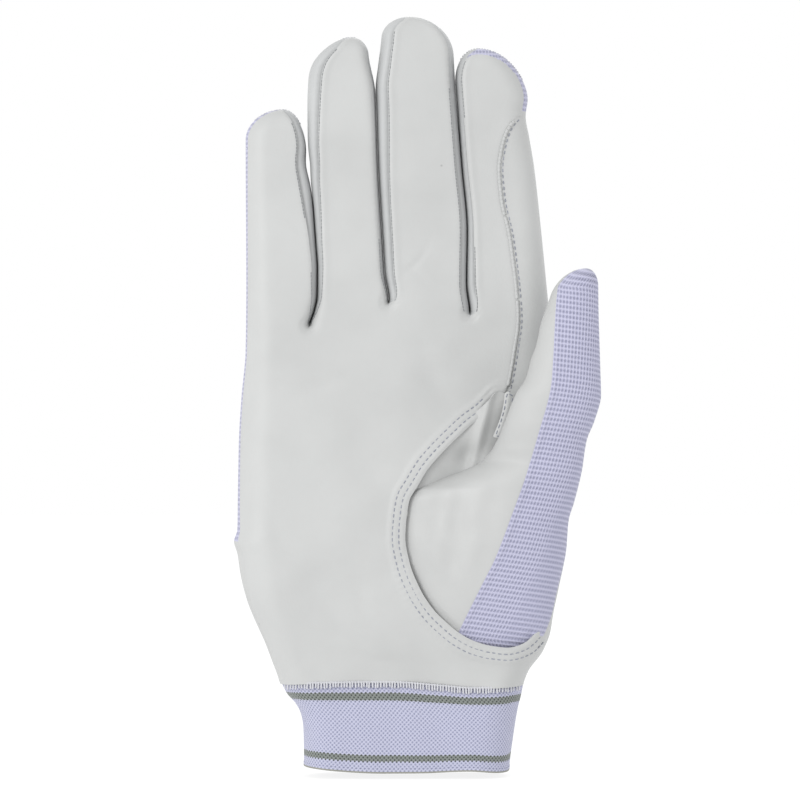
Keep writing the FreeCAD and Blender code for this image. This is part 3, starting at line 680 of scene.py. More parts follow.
def knit(name, colour, dark, u_pitch, v_pitch, staggered=False, depth=0.00025, contrast=(0.35, 0.9),
         rib_from=None, stripes=(), stripe_colours=None):
    """A knit of small raised cells with painted shade in the pit between them, on the cloth's own
    coordinates.
    """
    tree, shader = new_material(name, roughness=0.85, sheen=0.25, specular=0.15)
    u, v = uv_axes(tree, u_pitch, v_pitch)
    if staggered:
        a = math_node(tree, "ADD", u, v)
        b = math_node(tree, "SUBTRACT", u, v)
    else:
        a, b = u, v
    pit_a = math_node(tree, "ABSOLUTE", math_node(tree, "SINE" if rib_from else "COSINE", a))
    pit_b = math_node(tree, "ABSOLUTE", math_node(tree, "COSINE", b))
    if rib_from:
        ribbed = math_node(tree, "MULTIPLY", math_node(tree, "SUBTRACT", u, math.pi / u_pitch * rib_from),
                           u_pitch / math.pi / 6.0)
        ribbed = math_node(tree, "MINIMUM", math_node(tree, "MAXIMUM", ribbed, 0.0), 0.7)
        pit_a = math_node(tree, "MAXIMUM", pit_a, ribbed)
    pit = math_node(tree, "MULTIPLY", pit_a, pit_b)
    where = object_coordinates(tree)
    fluff = noise(tree, where, 1400.0, 3.0)
    fuzz = math_node(tree, "MULTIPLY", math_node(tree, "SUBTRACT", fluff, 0.5), 0.35)
    pit = math_node(tree, "ADD", pit, fuzz)
    # Painted shade: the colour darkens from the cell's colour to the dark colour as the pit deepens.
    tone = ramp(tree, pit, (contrast[0], colour), (contrast[1], dark))
    if stripes:
        stripe = None
        ragged = math_node(tree, "MULTIPLY", math_node(tree, "SUBTRACT", pit, 0.4), math.pi / v_pitch * 0.55)
        for centre, half in stripes:
            away = math_node(tree, "ABSOLUTE", math_node(tree, "SUBTRACT", v, centre * math.pi / v_pitch))
            inside = math_node(tree, "LESS_THAN", math_node(tree, "SUBTRACT", away, ragged),
                               half * math.pi / v_pitch)
            stripe = inside if stripe is None else math_node(tree, "MAXIMUM", stripe, inside)
        mixer = tree.nodes.new("ShaderNodeMix")
        mixer.data_type = "RGBA"
        tree.links.new(stripe, mixer.inputs[0])
        tree.links.new(tone, mixer.inputs[6])
        # The stripes get the same painted shade in their pits, from their first colour to their second.
        tree.links.new(ramp(tree, pit, (contrast[0], stripe_colours[0]), (contrast[1], stripe_colours[1])),
                       mixer.inputs[7])
        tone = mixer.outputs[2]
    tree.links.new(tone, shader.inputs["Base Color"])
    height = math_node(tree, "SUBTRACT", math_node(tree, "MULTIPLY", fluff, 0.25), pit)
    bump_node(tree, shader, height, 0.8, depth)


def plain(name, colour, roughness, grain=900.0, strength=0.4, depth=0.0002, sheen=0.0):
    tree, shader = new_material(name, roughness=roughness, sheen=sheen, specular=0.25)
    where = object_coordinates(tree)
    grain_value = noise(tree, where, grain, 4.0)
    tone = ramp(tree, grain_value, (0.35, tuple(c * 0.88 for c in colour)), (0.65, colour))
    tree.links.new(tone, shader.inputs["Base Color"])
    bump_node(tree, shader, grain_value, strength, depth)


CELL_U, CELL_V = 1.03, 1.44
CUFF_CELL = 1.25
RIBS_FROM = 11.0
PALE = (0.505, 0.512, 0.508)
KNIT_LIGHT = (0.500, 0.500, 0.640)
# The pits' colour below is painted shade in the pits between the knit's cells.
KNIT_PIT_SHADE = (0.285, 0.290, 0.400)
leather("palm_leather", PALE)
leather("thumb_leather", (0.500, 0.506, 0.502))
leather("yoke_leather", (0.495, 0.502, 0.498))
leather("fourchette", (0.470, 0.480, 0.482))
knit("knit", KNIT_LIGHT, KNIT_PIT_SHADE, CELL_U, CELL_V, contrast=(0.20, 0.95))
knit("thumb_knit", KNIT_LIGHT, KNIT_PIT_SHADE, CELL_U, CELL_V, contrast=(0.20, 0.95), rib_from=RIBS_FROM)
# The cuff rib's second colour and each stripe's second colour are painted shade in the pits between its
# cells.
knit("cuff_rib", (0.500, 0.508, 0.640), (0.235, 0.250, 0.365), CUFF_CELL, CUFF_CELL, staggered=True,
     depth=0.0002, contrast=(0.35, 0.98), stripes=((21.5, 1.15), (4.2, 0.95)),
     stripe_colours=((0.235, 0.255, 0.240), (0.040, 0.045, 0.045)))
plain("hem_edge", (0.30, 0.30, 0.27), 0.9)
plain("thread", (0.30, 0.315, 0.365), 0.7, grain=2500.0)
plain("white_thread", (0.62, 0.625, 0.66), 0.75, grain=2500.0)
plain("dark_thread", (0.20, 0.21, 0.22), 0.75, grain=2500.0)
plain("hook", (0.36, 0.36, 0.39), 0.6, grain=2400.0, strength=1.0, depth=0.0005)
plain("loop", (0.42, 0.42, 0.47), 0.95, grain=1600.0, strength=1.0, depth=0.0005, sheen=0.5)


# ---------------------------------------------------------------- the hand and the fingers

WALL_COLUMNS = 7
SIDE_COLUMNS = 22
FRONT_COLUMNS = 30
PIECES = []


def piece_id(name):
    """The number that stands for a piece's name in the faces of the whole hand."""
    if name not in PIECES:
        PIECES.append(name)
    return PIECES.index(name)


def lane_rows(i):
    """The heights of a lane's rows of points: finer at the fingertip, with a row at each split."""
    top = TIPS[FINGERS[i]][0]
    mid = MID_SPLIT[FINGERS[i]]
    runs = [np.linspace(25.0, KNUCKLE_SPLIT, 166),
            np.linspace(KNUCKLE_SPLIT, mid, int((mid - KNUCKLE_SPLIT) / 0.7) + 1)[1:],
            np.linspace(mid, top - 9.0, int((top - 9.0 - mid) / 0.7) + 1)[1:]]
    cap = top - 9.0 * (1 - np.arange(1, 23) / 22.0) ** 2
    return np.concatenate(runs + [cap])


def even(t):
    """Steps from 0 to 1, a little closer together at both ends."""
    return 0.65 * t + 0.35 * (1 - np.cos(np.pi * t)) / 2


def sheet_block(z, x_left, x_right, columns, depth_of, back, power_left=1.0, power_right=1.0, anchor=None):
    """A block of the hand's front or back between two lines, with points gathered towards either line."""
    t = np.linspace(0, 1, columns + 1)
    if power_left > 1:
        t = t ** power_left
    if power_right > 1:
        t = 1 - (1 - t) ** power_right
    if power_left == power_right == 1.0:
        t = even(t)
    x = x_left[:, None] + (x_right - x_left)[:, None] * t[None, :]
    zz = np.repeat(z[:, None], columns + 1, axis=1)
    depth = depth_of(x, zz)
    points = np.stack([x, depth if back else -depth, wrist_warp(x, zz)], -1).reshape(-1, 3)
    anchor = (columns + 1) // 2 if anchor is None else anchor
    u = fabric_length(x, depth, z, anchor) + x[:, anchor:anchor + 1]
    return points, grid(len(z), columns + 1, flip=back), np.stack([u, zz], -1).reshape(-1, 2)


def fabric_length(x, y, z, start):
    """How far along its row each point is, in millimetres of cloth, from the given column."""
    step = np.sqrt(np.diff(x, axis=1) ** 2 + np.diff(y, axis=1) ** 2)
    u = np.concatenate([np.zeros((len(z), 1)), np.cumsum(step, axis=1)], axis=1)
    return u - u[:, start:start + 1]


def names_by_height(i, part, z):
    """The piece that each row of faces belongs to, from the wrist up."""
    finger = FINGERS[i]
    mid = MID_SPLIT[finger]
    side = {"front": "front", "back": "back", "left": "left_wall", "right": "right_wall"}[part]
    crotches = ("crotch_ring_little", "crotch_middle_ring", "crotch_index_middle")
    root = {
        "front": "palm_leather",
        "back": "back_knit",
        "left": ("back_knit", *crotches)[i],
        "right": (*crotches, "index_side_panel")[i],
    }[part]
    out = []
    for height in z:
        if height > mid:
            out.append(f"{finger}_tip_{side}")
        elif height > KNUCKLE_SPLIT:
            out.append(f"{finger}_base_{side}")
        elif root == "back_knit" and height < 70.0:
            out.append("wrist_yoke")
        else:
            out.append(root)
    return np.array([piece_id(name) for name in out])


def build_master():
    """The whole hand as one welded sheet, so that neighbouring pieces share their edges and normals."""
    master = Sheet()
    for i in range(4):
        z = lane_rows(i)
        middle_of_row = (z[:-1] + z[1:]) / 2
        left, right = lane_edges(i, z)
        seam_left, seam_right = lane_seams(i, z)
        back_inset = np.minimum(2.6, (right - left) * 0.25)
        below_left = z < (CROTCH[i - 1] if i else -1)
        below_right = z < (CROTCH[i] if i < 3 else -1)
        back_left = left + np.where(below_left, 0, back_inset * (smooth((z - CROTCH[i - 1]) / 6) if i else 1))
        side_back = Curve((22, 7.0), (60, 8.5), (110, 6.5), (150, 4.0), (220, 3.0))
        back_right = right - (np.minimum(side_back(z), (right - left) * 0.3) if i == 3 else
                              np.where(below_right, 0, back_inset * smooth((z - CROTCH[i]) / 6)))
        side = SIDE_COLUMNS if i == 3 else WALL_COLUMNS
        blocks = (
            ("left", left, seam_left, WALL_COLUMNS, False, 2.0, 1.0),
            ("front", seam_left, seam_right, FRONT_COLUMNS, False, 1.0, 1.0),
            ("right", seam_right, right, side, False, 1.0, 2.0 if i < 3 else 1.7),
            ("left", left, back_left, WALL_COLUMNS, True, 2.0, 1.0),
            ("back", back_left, back_right, FRONT_COLUMNS, True, 1.0, 1.0),
            ("right", back_right, right, side if i < 3 else 12, True, 1.0, 2.0),
        )
        for part, a, b, columns, back, power_left, power_right in blocks:
            if back:
                depth_of = lambda x, zz, i=i: back_depth(x, zz, i)
            else:
                depth_of = lambda x, zz, i=i, part=part: front_depth(x, zz, i, part)
            anchor = {"left": columns, "right": 0}.get(part)
            points, faces, uv = sheet_block(z, a, b, columns, depth_of, back, power_left, power_right, anchor)
            ids = names_by_height(i, part, middle_of_row)
            per_face = np.repeat(ids, columns)
            master.add(points, faces, uv, np.concatenate([per_face, per_face]))
    master.weld()
    master.smooth_normals()
    return master


def shown(name, sheet, material, thickness=0.9, extra=None, extra_materials=(), kinds=0):
    """A piece of the sheet as an object, with the given material number on its faces."""
    sheet.kind = np.zeros(len(sheet.faces), int) + kinds
    return make_object(name, sheet, [material, *extra_materials], thickness, extra)


def surface_points(x, z, i, panel="front"):
    """Points on the hand's front, with the direction that they face."""
    def at(px, pz):
        return np.stack([px, -front_depth(px, pz, i, panel), wrist_warp(px, pz)], -1)
    x = np.asarray(x, float)
    z = np.asarray(z, float)
    p = at(x, z)
    n = np.cross(at(x + 0.3, z) - p, at(x, z + 0.3) - p)
    n /= np.linalg.norm(n, axis=1, keepdims=True)
    return p, n


def stitch_line(p, n, pitch, length, radius, kind, sink=0.0):
    """Stitches laid at even steps along a finely sampled line of surface points."""
    step = np.linalg.norm(np.diff(p, axis=0), axis=1)
    travelled = np.concatenate([[0], np.cumsum(step)])
    centres = np.arange(pitch / 2, travelled[-1], pitch)
    def sample(values, where):
        return np.stack([np.interp(where, travelled, values[:, k]) for k in range(3)], 1)
    up = sample(n, centres)
    raised = up * (radius - sink)
    start = sample(p, centres - length / 2) + raised
    end = sample(p, centres + length / 2) + raised
    return capsules(start, end, up, radius, kind)


def fine_steps(start, end, step):
    return np.linspace(start, end, int((end - start) / step) + 2)


def finger_seam_thread(i, side, z_from, z_to, kind=1):
    """The fine thread that shows in the seam between a finger's front and its side wall."""
    z = fine_steps(z_from, z_to, 0.25)
    seam_left, seam_right = lane_seams(i, z)
    p, n = surface_points(seam_left + 0.25 if side == "left" else seam_right - 0.25, z, i)
    return stitch_line(p, n, 1.05, 0.98, 0.13, kind, sink=0.11)


# The stretches where a finger's seam opens far enough to show its thread: lane, side, from and to height.
SEEN_THREADS = (
    (0, "right", 134.6, 150.0), (0, "right", 166.0, 195.0), (1, "left", 134.6, 217.0),
    (1, "right", 141.5, 160.0), (2, "left", 141.5, 222.0), (2, "right", 138.2, 205.0),
    (3, "left", 138.2, 158.0), (3, "left", 196.0, 213.0),
)


def seam_threads(low, high, lanes=(0, 1, 2, 3)):
    """The threads seen between two heights in the given lanes, as one sheet."""
    threads = [finger_seam_thread(lane, side, max(low, start), min(high, end))
               for lane, side, start, end in SEEN_THREADS
               if lane in lanes and min(high, end) > max(low, start) + 0.4]
    return join(*threads)


def index_seam_roll(z_from, z_to):
    """The front panel's turned edge, which stands up as a small roll beside the stitches."""
    z = fine_steps(z_from, z_to, 0.2)
    p, n = surface_points(INDEX_SEAM(z) + 0.1, z, 3)
    return stitch_line(p, n, 1.2, 1.45, 0.56, 0, sink=0.30)


def index_seam_thread(z_from, z_to, kind=1):
    """The row of stitches beside the index finger's turned edge."""
    z = fine_steps(z_from, z_to, 0.2)
    p, n = surface_points(INDEX_SEAM(z) + 1.25, z, 3, "right")
    return stitch_line(p, n, 1.85, 1.15, 0.17, kind, sink=0.12)


def hole_edge_line(offset, start, end):
    """A line that runs beside the hole's edge, offset onto the palm."""
    s = np.linspace(start, end, 500)
    x, z = HOLE_X(s), HOLE_Z(s)
    dx, dz = np.gradient(x), np.gradient(z)
    length = np.hypot(dx, dz)
    side_x, side_z = dz / length, -dx / length
    return x + side_x * offset, z + side_z * offset


# How far round a fingertip the overlocked edge shows, to the left and to the right of its apex.
TIP_FRINGE = {"little": (9.0, 7.0), "ring": (2.5, 1.5), "index": (6.0, 17.0)}


def tip_fringe(finger):
    """Overlock threads wrapped over the edge of a fingertip."""
    i = FINGERS.index(finger)
    top = TIPS[finger][0]
    z = top - 20.0 * np.linspace(1, 0, 160) ** 2
    left, right = lane_edges(i, z)
    x = np.concatenate([left, right[::-1]])
    z = np.concatenate([z, z[::-1]])
    run_length = np.concatenate([[0], np.cumsum(np.hypot(np.diff(x), np.diff(z)))])
    apex = run_length[159]
    to_left, to_right = TIP_FRINGE[finger]
    where = np.arange(apex - to_left, apex + to_right, 0.82)
    where = where + rng.uniform(-0.15, 0.15, len(where))
    px, pz = np.interp(where, run_length, x), np.interp(where, run_length, z)
    ox = px - np.interp(where, run_length, x * 0 + TIPS[finger][1])
    oz = pz - (top - 10.0)
    out = np.stack([ox, 0 * ox, oz], 1) / np.hypot(ox, oz)[:, None]
    centre = np.stack([px, 0 * px, np.minimum(pz, 226.5)], 1) + out * 0.05
    half = np.stack([0.25 * out[:, 2], 1.1 + 0 * ox, -0.25 * out[:, 0]], 1)
    return capsules(centre - half, centre + half, out, 0.22, 1)


def knit_band(sheet):
    """The faces of the index fingertip's front beside its outline, where the knit laps over."""
    middle = sheet.points[sheet.faces].mean(1)
    top = TIPS["index"][0]
    z = np.linspace(top - 16.0, top, 300)
    left, right = lane_edges(3, z)
    above = np.where(middle[:, 0] > TIPS["index"][1], np.interp(middle[:, 0], right[::-1], z[::-1]),
                     np.interp(middle[:, 0], left, z))
    return (above - middle[:, 2] < 2.0) & (middle[:, 0] > 17.0) & (middle[:, 2] > 198.0)


def make_hand():
    """Cuts the hand into its pieces and adds the threads of each; only the pieces off the fingers are
    attached to the hand's body.
    """
    master = build_master()
    for number, name in enumerate(PIECES):
        sheet = master.part(master.kind == number)
        material = "palm_leather"
        extra = None
        extra_materials = ()
        finger = name.split("_")[0]
        if name == "palm_leather":
            field, _ = hole_distance(sheet.points[:, 0], sheet.points[:, 2])
            sheet.clip(field)
            extra = join(seam_threads(100.0, KNUCKLE_SPLIT), index_seam_roll(116.0, KNUCKLE_SPLIT))
            extra_materials = ("dark_thread",)
        if name == "wrist_yoke":
            x, z = sheet.points[:, 0], sheet.points[:, 2]
            across = np.maximum(np.abs(x) - 1.7, z - 58.0)
            sheet.clip(np.where(sheet.points[:, 1] > 0, across, 5.0))
            material = "yoke_leather"
        elif name == "back_knit" or name.endswith("_back") or name in ("little_base_left_wall",
                                                                       "little_tip_left_wall"):
            material = "knit"
        elif "wall" in name or name.startswith("crotch"):
            material = "fourchette"
        if finger in FINGERS and name.endswith("front"):
            mid = MID_SPLIT[finger]
            low, high = (KNUCKLE_SPLIT, mid) if "_base_" in name else (mid, TIPS[finger][0] - 3.0)
            extra = seam_threads(low, high, (FINGERS.index(finger),))
            if finger == "index":
                extra = join(extra, index_seam_roll(low, min(high, 195.0)))
            extra_materials = ("dark_thread",)
        if name in ("index_base_right_wall", "index_tip_right_wall"):
            mid = MID_SPLIT["index"]
            low, high = (KNUCKLE_SPLIT, mid) if "_base_" in name else (mid, 196.0)
            extra = index_seam_thread(low, high)
            extra_materials = ("thread", "knit")
            material = "palm_leather"
        kinds = 0
        if name == "index_tip_right_wall":
            height = sheet.points[sheet.faces][:, :, 2].mean(1)
            kinds = np.where(height > 198.4, 2, 0)
        if name == "index_tip_front":
            kinds = np.where(knit_band(sheet), 2, 0)
            extra_materials = ("dark_thread", "knit")
        if finger in TIP_FRINGE and name.endswith("_tip_back"):
            extra = tip_fringe(finger)
            extra_materials = ("white_thread",)
        obj = shown(name, sheet, material, 0.9, extra, extra_materials, kinds)
        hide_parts(name)
        if "_base_" in name or "_tip_" in name:
            if "_base_" in name:
                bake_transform(obj)
            else:
                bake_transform(obj)
        else:
            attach(obj, "hand")


# ---------------------------------------------------------------- the thumb

THUMB_LEFT = Curve((34, 15.0), (38.5, 13.0), (42.7, 10.4), (45.9, 8.0), (49.8, 5.0), (55.8, 1.6),
                   (63.9, -1.6), (71, -2.8), (76.2, -2.5), (82, -1.6), (85.2, 1.0), (87.5, 7.0),
                   (90.9, 16.2), (93.9, 22.2), (99.3, 26.1), (103.5, 27.9), (109.8, 30.2), (114, 32.0),
                   (118.2, 34.7), (123.9, 36.3), (128.1, 37.8), (134.7, 39.3), (141.9, 41.8), (146, 43.0),
                   (152, 44.0))
THUMB_RIGHT = Curve((34, 34.5), (37, 37.0), (39.5, 39.0), (42.8, 40.9), (47.9, 42.8), (54.9, 44.4),
                    (60.9, 45.9), (66.9, 47.1), (75.9, 47.8), (81.9, 49.5), (90.9, 51.6), (99.9, 52.9),
                    (105.9, 55.2), (113.4, 57.0), (120.9, 56.8), (144.9, 56.2), (152, 56.4))
THUMB_SEAM = Curve((34, 11.0), (42.9, 15.0), (59.1, 22.8), (63.9, 25.2), (78, 30.6), (89.4, 34.7),
                   (101.1, 38.1), (117.9, 42.2), (123.9, 42.6), (146.1, 44.3), (152, 47.0))
THUMB_EDGE_LEFT = Curve((34, -11.6), (46, -12.0), (60, -11.7), (78, -10.9), (86, -9.2), (93, -9.0),
                        (98, -12.5), (106, -17.8), (116, -20), (152, -20))
THUMB_EDGE_RIGHT = Curve((34, -9.2), (48, -9.0), (60, -8.8), (80, -11), (95, -15), (106, -18.5), (116, -20),
                         (152, -20))
THUMB_RISE = Curve((34, 1.0), (38, 2.4), (43, 4.2), (50, 7.2), (60, 10.2), (73, 12.3), (88, 12.0),
                   (100, 10.6), (112, 9.3), (128, 8.6), (142, 7.6), (152, 7.2))
THUMB_SHOULDER = Curve((34, 0.8), (60, 0.95), (78, 0.95), (86, 0.62), (98, 0.5), (152, 0.5))
THUMB_TOP = 150.8
THUMB_NORMAL = (math.sin(math.radians(60.8)), math.cos(math.radians(60.8)))
THUMB_APEX = 52.6


def thumb_sides(z):
    """The thumb's left and right edge at each height, rounded in to its apex at the top."""
    cap_left = np.clip((z - (THUMB_TOP - 8.0)) / 8.0, 0, 1)
    cap_right = np.clip((z - (THUMB_TOP - 5.5)) / 5.5, 0, 1)
    left = THUMB_APEX + (THUMB_LEFT(z) - THUMB_APEX) * np.sqrt(1 - cap_left ** 2)
    right = THUMB_APEX + (THUMB_RIGHT(z) - THUMB_APEX) * np.sqrt(1 - cap_right ** 2)
    return left, right


def thumb_row_shape(z, s, back):
    """x and y across the thumb at each height, s from 0 at its left edge to 1 at its right."""
    left, right = thumb_sides(z)
    x = left[:, None] + (right - left)[:, None] * s
    edge = THUMB_EDGE_LEFT(z)[:, None] * (1 - s) + THUMB_EDGE_RIGHT(z)[:, None] * s
    cap = np.clip((z - (THUMB_TOP - 7.0)) / 7.0, 0, 1)
    rise = (THUMB_RISE(z) * np.sqrt(1 - cap ** 2))[:, None]
    if back:
        shape = np.sqrt(np.clip(4 * s * (1 - s), 0, 1))
        return x, edge + rise * shape
    a = THUMB_SHOULDER(z)[:, None]
    peak = (a / (a + 0.5)) ** a * np.sqrt(0.5 / (a + 0.5))
    shape = np.clip(s, 0, 1) ** a * np.sqrt(np.clip(1 - s, 0, 1)) / peak
    zz = z[:, None]
    relief = 0.3 * undulation(x, zz + 0 * x, 17.0) * np.clip(shape, 0, 1)
    crease = 1.1 * bump((zz - 84 - 0.30 * (x - 10)) - 3.5, 2.2) * bump(x - 12, 10)
    crease = crease + 0.5 * bump(x - 17 - 0.5 * (zz - 70), 3.0) * bump(zz - 72, 12)
    fan = 0.18 * np.sin((x + 0.9 * zz) * 0.55) * bump(zz - 64, 18) * bump(x - 10, 9)
    folds = 0.62 * np.sin(x * 0.62 - zz * 0.10) * bump(zz - 76, 14) * bump(x - 14, 13)
    y = edge - rise * shape - relief + crease + fan + folds
    d, _ = hole_distance(x, zz + 0 * x)
    under_palm = np.maximum(y, 1.05 - front_depth(x, zz + 0 * x, 3, "front"))
    return x, y + (under_palm - y) * smooth((d + 2.2) / 2.0) * (1 - smooth((zz - 84) / 5)) * (
        1 - smooth((x - 35.5) / 2.5))


def waffle(u, v):
    """Depth of the knit's pits, 0 to 1."""
    a = np.abs(np.sin(np.pi * u / CELL_U))
    b = np.abs(np.cos(np.pi * v / CELL_V))
    ribbed = 0.75 * smooth((u - RIBS_FROM) / 6.0)
    return np.maximum(a ** 1.5, ribbed) * b ** 1.2


def build_thumb():
    cap = THUMB_TOP - 7.0 * (1 - np.arange(0, 31) / 30.0) ** 2
    z = np.concatenate([np.arange(34.0, THUMB_TOP - 7.0, 0.34), cap])
    left, right = thumb_sides(z)
    width = np.maximum(right - left, 1e-6)
    seam = np.clip((THUMB_SEAM(z) - left) / width, 0.07, 0.9)
    roundness = np.clip((THUMB_SHOULDER(z) - 0.5) / 0.5, 0, 1)
    back_seam = np.where(z < 100, 0.80, 0.80 - 0.35 * smooth((z - 100) / 12))

    def across(columns):
        return np.linspace(0, 1, columns + 1)[None, :]

    shares = {
        "front_leather": seam[:, None] * across(30) ** (2.0 - roundness)[:, None],
        "front_knit": 1 - (1 - seam)[:, None] * (1 - across(96)) ** 1.75,
        "back_knit": 1 - (1 - back_seam)[:, None] * across(40) ** 1.75,
        "back_leather": back_seam[:, None] * (1 - across(24)) ** 1.75,
    }
    sheet = Sheet()
    u_edge = 0.0
    for block, share in shares.items():
        x, y = thumb_row_shape(z, share, block.startswith("back"))
        zz = np.repeat(z[:, None], x.shape[1], axis=1)
        if block.endswith("knit"):
            kind = 0
            front = block == "front_knit"
            u = fabric_length(x, y, z, 0) + u_edge
            u_edge = u[:, -1:]
            v = zz + 0.13 * u
            uv = np.stack([u, v], -1)
            seam_roll = 0.35 * bump(u - 0.9, 0.9) * front
            depth = 0.26 * waffle(u, v) * smooth((u - 0.3) / 1.2) - seam_roll
            surface = np.stack([x, y, zz], -1)
            n = np.cross(np.gradient(surface, axis=1), np.gradient(surface, axis=0))
            length = np.linalg.norm(n, axis=-1, keepdims=True)
            n = n / np.maximum(length, 1e-9)
            fade = np.clip((THUMB_TOP - zz) / 3.0, 0, 1) * np.where(length[..., 0] > 1e-6, 1, 0)
            fade[:, -1 if front else 0] = 0
            points = surface - n * (depth * fade)[..., None]
        else:
            kind = 1
            points = np.stack([x, y, zz], -1)
            uv = np.stack([x, zz], -1)
        points = points.reshape(-1, 3)
        faces = grid(len(z), x.shape[1])
        if block == "back_leather":
            faces = faces[points[faces][:, :, 2].mean(1) >= 99]
        sheet.add(points, faces, uv.reshape(-1, 2), kind)
    sheet.weld()
    sheet.smooth_normals()
    near_top = np.clip((sheet.points[:, 2:3] - (THUMB_TOP - 0.8)) / 0.8, 0, 1)
    sheet.normals = sheet.normals * (1 - near_top) + np.array([[0, 0, 1.0]]) * near_top
    sheet.normals /= np.maximum(np.linalg.norm(sheet.normals, axis=1, keepdims=True), 1e-9)
    return sheet


def recess_sheet():
    """The leather that shows set back between the palm's edge and the thumb's fold."""
    x = np.linspace(-5, 34, 90)
    z = np.linspace(76, 116, 90)
    zz, xx = np.meshgrid(z, x, indexing="ij")
    d, _ = hole_distance(xx, zz)
    base = FRONT_DEPTH(zz) - 1.1 - 2.6 * smooth(-d / 10.0)
    base = base - 1.8 * bump(np.hypot(xx - 18, zz - 95.5), 3.6) + 0.5 * undulation(xx, zz, 12.0)
    base = base + 1.2 * bump(xx - 20.5 - 0.25 * (zz - 98), 1.6)
    points = np.stack([xx, -base, zz], -1).reshape(-1, 3)
    sheet = Sheet()
    sheet.add(points, grid(90, 90), np.stack([xx, zz], -1).reshape(-1, 2), 0)
    sheet.smooth_normals()
    crease = Curve((-6, 82), (0.5, 82.5), (7, 87.5), (16.2, 90.9), (22.2, 93.9), (26.1, 99.3),
                   (27.9, 103.5), (30.2, 109.8), (34, 116))
    sheet.clip(2.4 - d.ravel())
    x, z = sheet.points[:, 0], sheet.points[:, 2]
    sheet.clip(z - crease(x) + 5.0)
    return sheet


def make_thumb():
    """Cuts the thumb across at its base, where the palm's hole ends, and at its middle joint."""
    sheet = build_thumb()
    crotch_x, crotch_z = HOLE[0][0], 112.0
    beyond_base = (THUMB_NORMAL[0] * (sheet.points[:, 0] - crotch_x)
                   + THUMB_NORMAL[1] * (sheet.points[:, 2] - crotch_z))
    face_beyond = beyond_base[sheet.faces].max(1)
    face_z = sheet.points[sheet.faces][:, :, 2].mean(1)
    zones = np.where(face_beyond < 0.35, 0, np.where(face_z < 125.0, 1, 2))
    names = (("thumb_gusset", None), ("thumb", ("hand", "thumb")), ("thumb_tip", ("thumb", "thumb_tip")))
    for zone, (prefix, bodies) in enumerate(names):
        for kind, material in ((0, "knit"), (1, "leather")):
            part = sheet.part((zones == zone) & (sheet.kind == kind))
            name = f"{prefix}_{material}"
            if name == "thumb_gusset_leather":
                part = join(part, recess_sheet())
            obj = shown(name, part, "thumb_knit" if kind == 0 else "thumb_leather", 0.7)
            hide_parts(name)
            if zone == 0:
                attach(obj, "hand")
            elif zone == 1:
                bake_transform(obj)
            else:
                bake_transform(obj)


# ---------------------------------------------------------------- the cuff

CUFF_LEFT = Curve((-1, -31.2), (2.4, -31.2), (11.4, -31.4), (15.3, -32.1), (18.9, -33.9), (21.9, -36.3),
                  (26.7, -38.5))
CUFF_RIGHT = Curve((-1, 30.2), (0.9, 30.4), (6.9, 31.2), (18.3, 33.0), (21.9, 33.9), (26.7, 34.8))
CUFF_COLUMNS = 240
CUFF_HEIGHT = 26.2
CUFF_BOTTOM = Curve((-33, 3.2), (-30.4, 2.3), (-28, 2.1), (-14.4, 1.1), (-6.9, 0.9), (5, 1.0), (18.6, 1.5),
                    (28, 0.8), (29.6, 0.9), (31, 1.9))


def cuff_block(rows, back):
    """The cuff's front or back: wavy edges, flat middle and a fine staggered knit standing in relief."""
    t = np.asarray(rows)
    phi = np.linspace(0, np.pi, CUFF_COLUMNS + 1)
    s = 0.72 * (1 - np.cos(phi)) / 2 + 0.28 * phi / np.pi
    height = CUFF_HEIGHT * t
    left, right = CUFF_LEFT(height), CUFF_RIGHT(height)
    x = left[:, None] + (right - left)[:, None] * s[None, :]
    z = CUFF_BOTTOM(x) + (CUFF_SEAM(x) + 0.9 - CUFF_BOTTOM(x)) * t[:, None]
    full = corner(x - left[:, None], 11.0, 2.1) * corner(right[:, None] - x, 11.0, 2.1)
    depth = 12.9 + 0.35 * smooth((t[:, None] - 0.6) / 0.4)
    wave = 0.35 * undulation(x, z, 20.0) + 0.25 * np.sin(x * 0.42 + 2.0 * t[:, None]) * (1 - t[:, None])
    y = full * (depth + wave)
    u = fabric_length(x, y, t, CUFF_COLUMNS // 2)
    v = height[:, None] + 0 * x
    a = np.cos(np.pi * (u + v) / CUFF_CELL)
    b = np.cos(np.pi * (u - v) / CUFF_CELL)
    relief = 0.13 * np.abs(a) * np.abs(b) * np.clip(full * 2, 0, 1)
    y = y - relief * full
    points = np.stack([x, y if back else -y, z], -1).reshape(-1, 3)
    return points, grid(len(t), x.shape[1], flip=back), np.stack([u, v], -1).reshape(-1, 2)


def make_cuff():
    """The elastic band and, below it, the turned hem with its bound edge."""
    edge_top, hem_top = 0.018, 0.045
    rows = np.unique(np.round(np.concatenate([np.linspace(0, 1, 106), [edge_top, hem_top]]), 6))
    middle = (rows[:-1] + rows[1:]) / 2
    kind = np.where(middle < edge_top, 2, np.where(middle < hem_top, 1, 0))
    kinds = np.repeat(kind, CUFF_COLUMNS)
    sheet = Sheet()
    for back in (False, True):
        points, faces, uv = cuff_block(rows, back)
        sheet.add(points, faces, uv, np.concatenate([kinds, kinds]))
    sheet.weld()
    sheet.smooth_normals()
    band = sheet.part(sheet.kind == 0)
    place_in_frame(make_object("cuff_band", band, ["cuff_rib"], 1.3), "cuff_band")
    hem = sheet.part(sheet.kind > 0)
    hem.kind = hem.kind - 1
    hem.points = hem.points + hem.normals * 0.12
    place_in_frame(make_object("cuff_hem_tape", hem, ["cuff_rib", "hem_edge"], 1.5), "cuff_hem_tape")


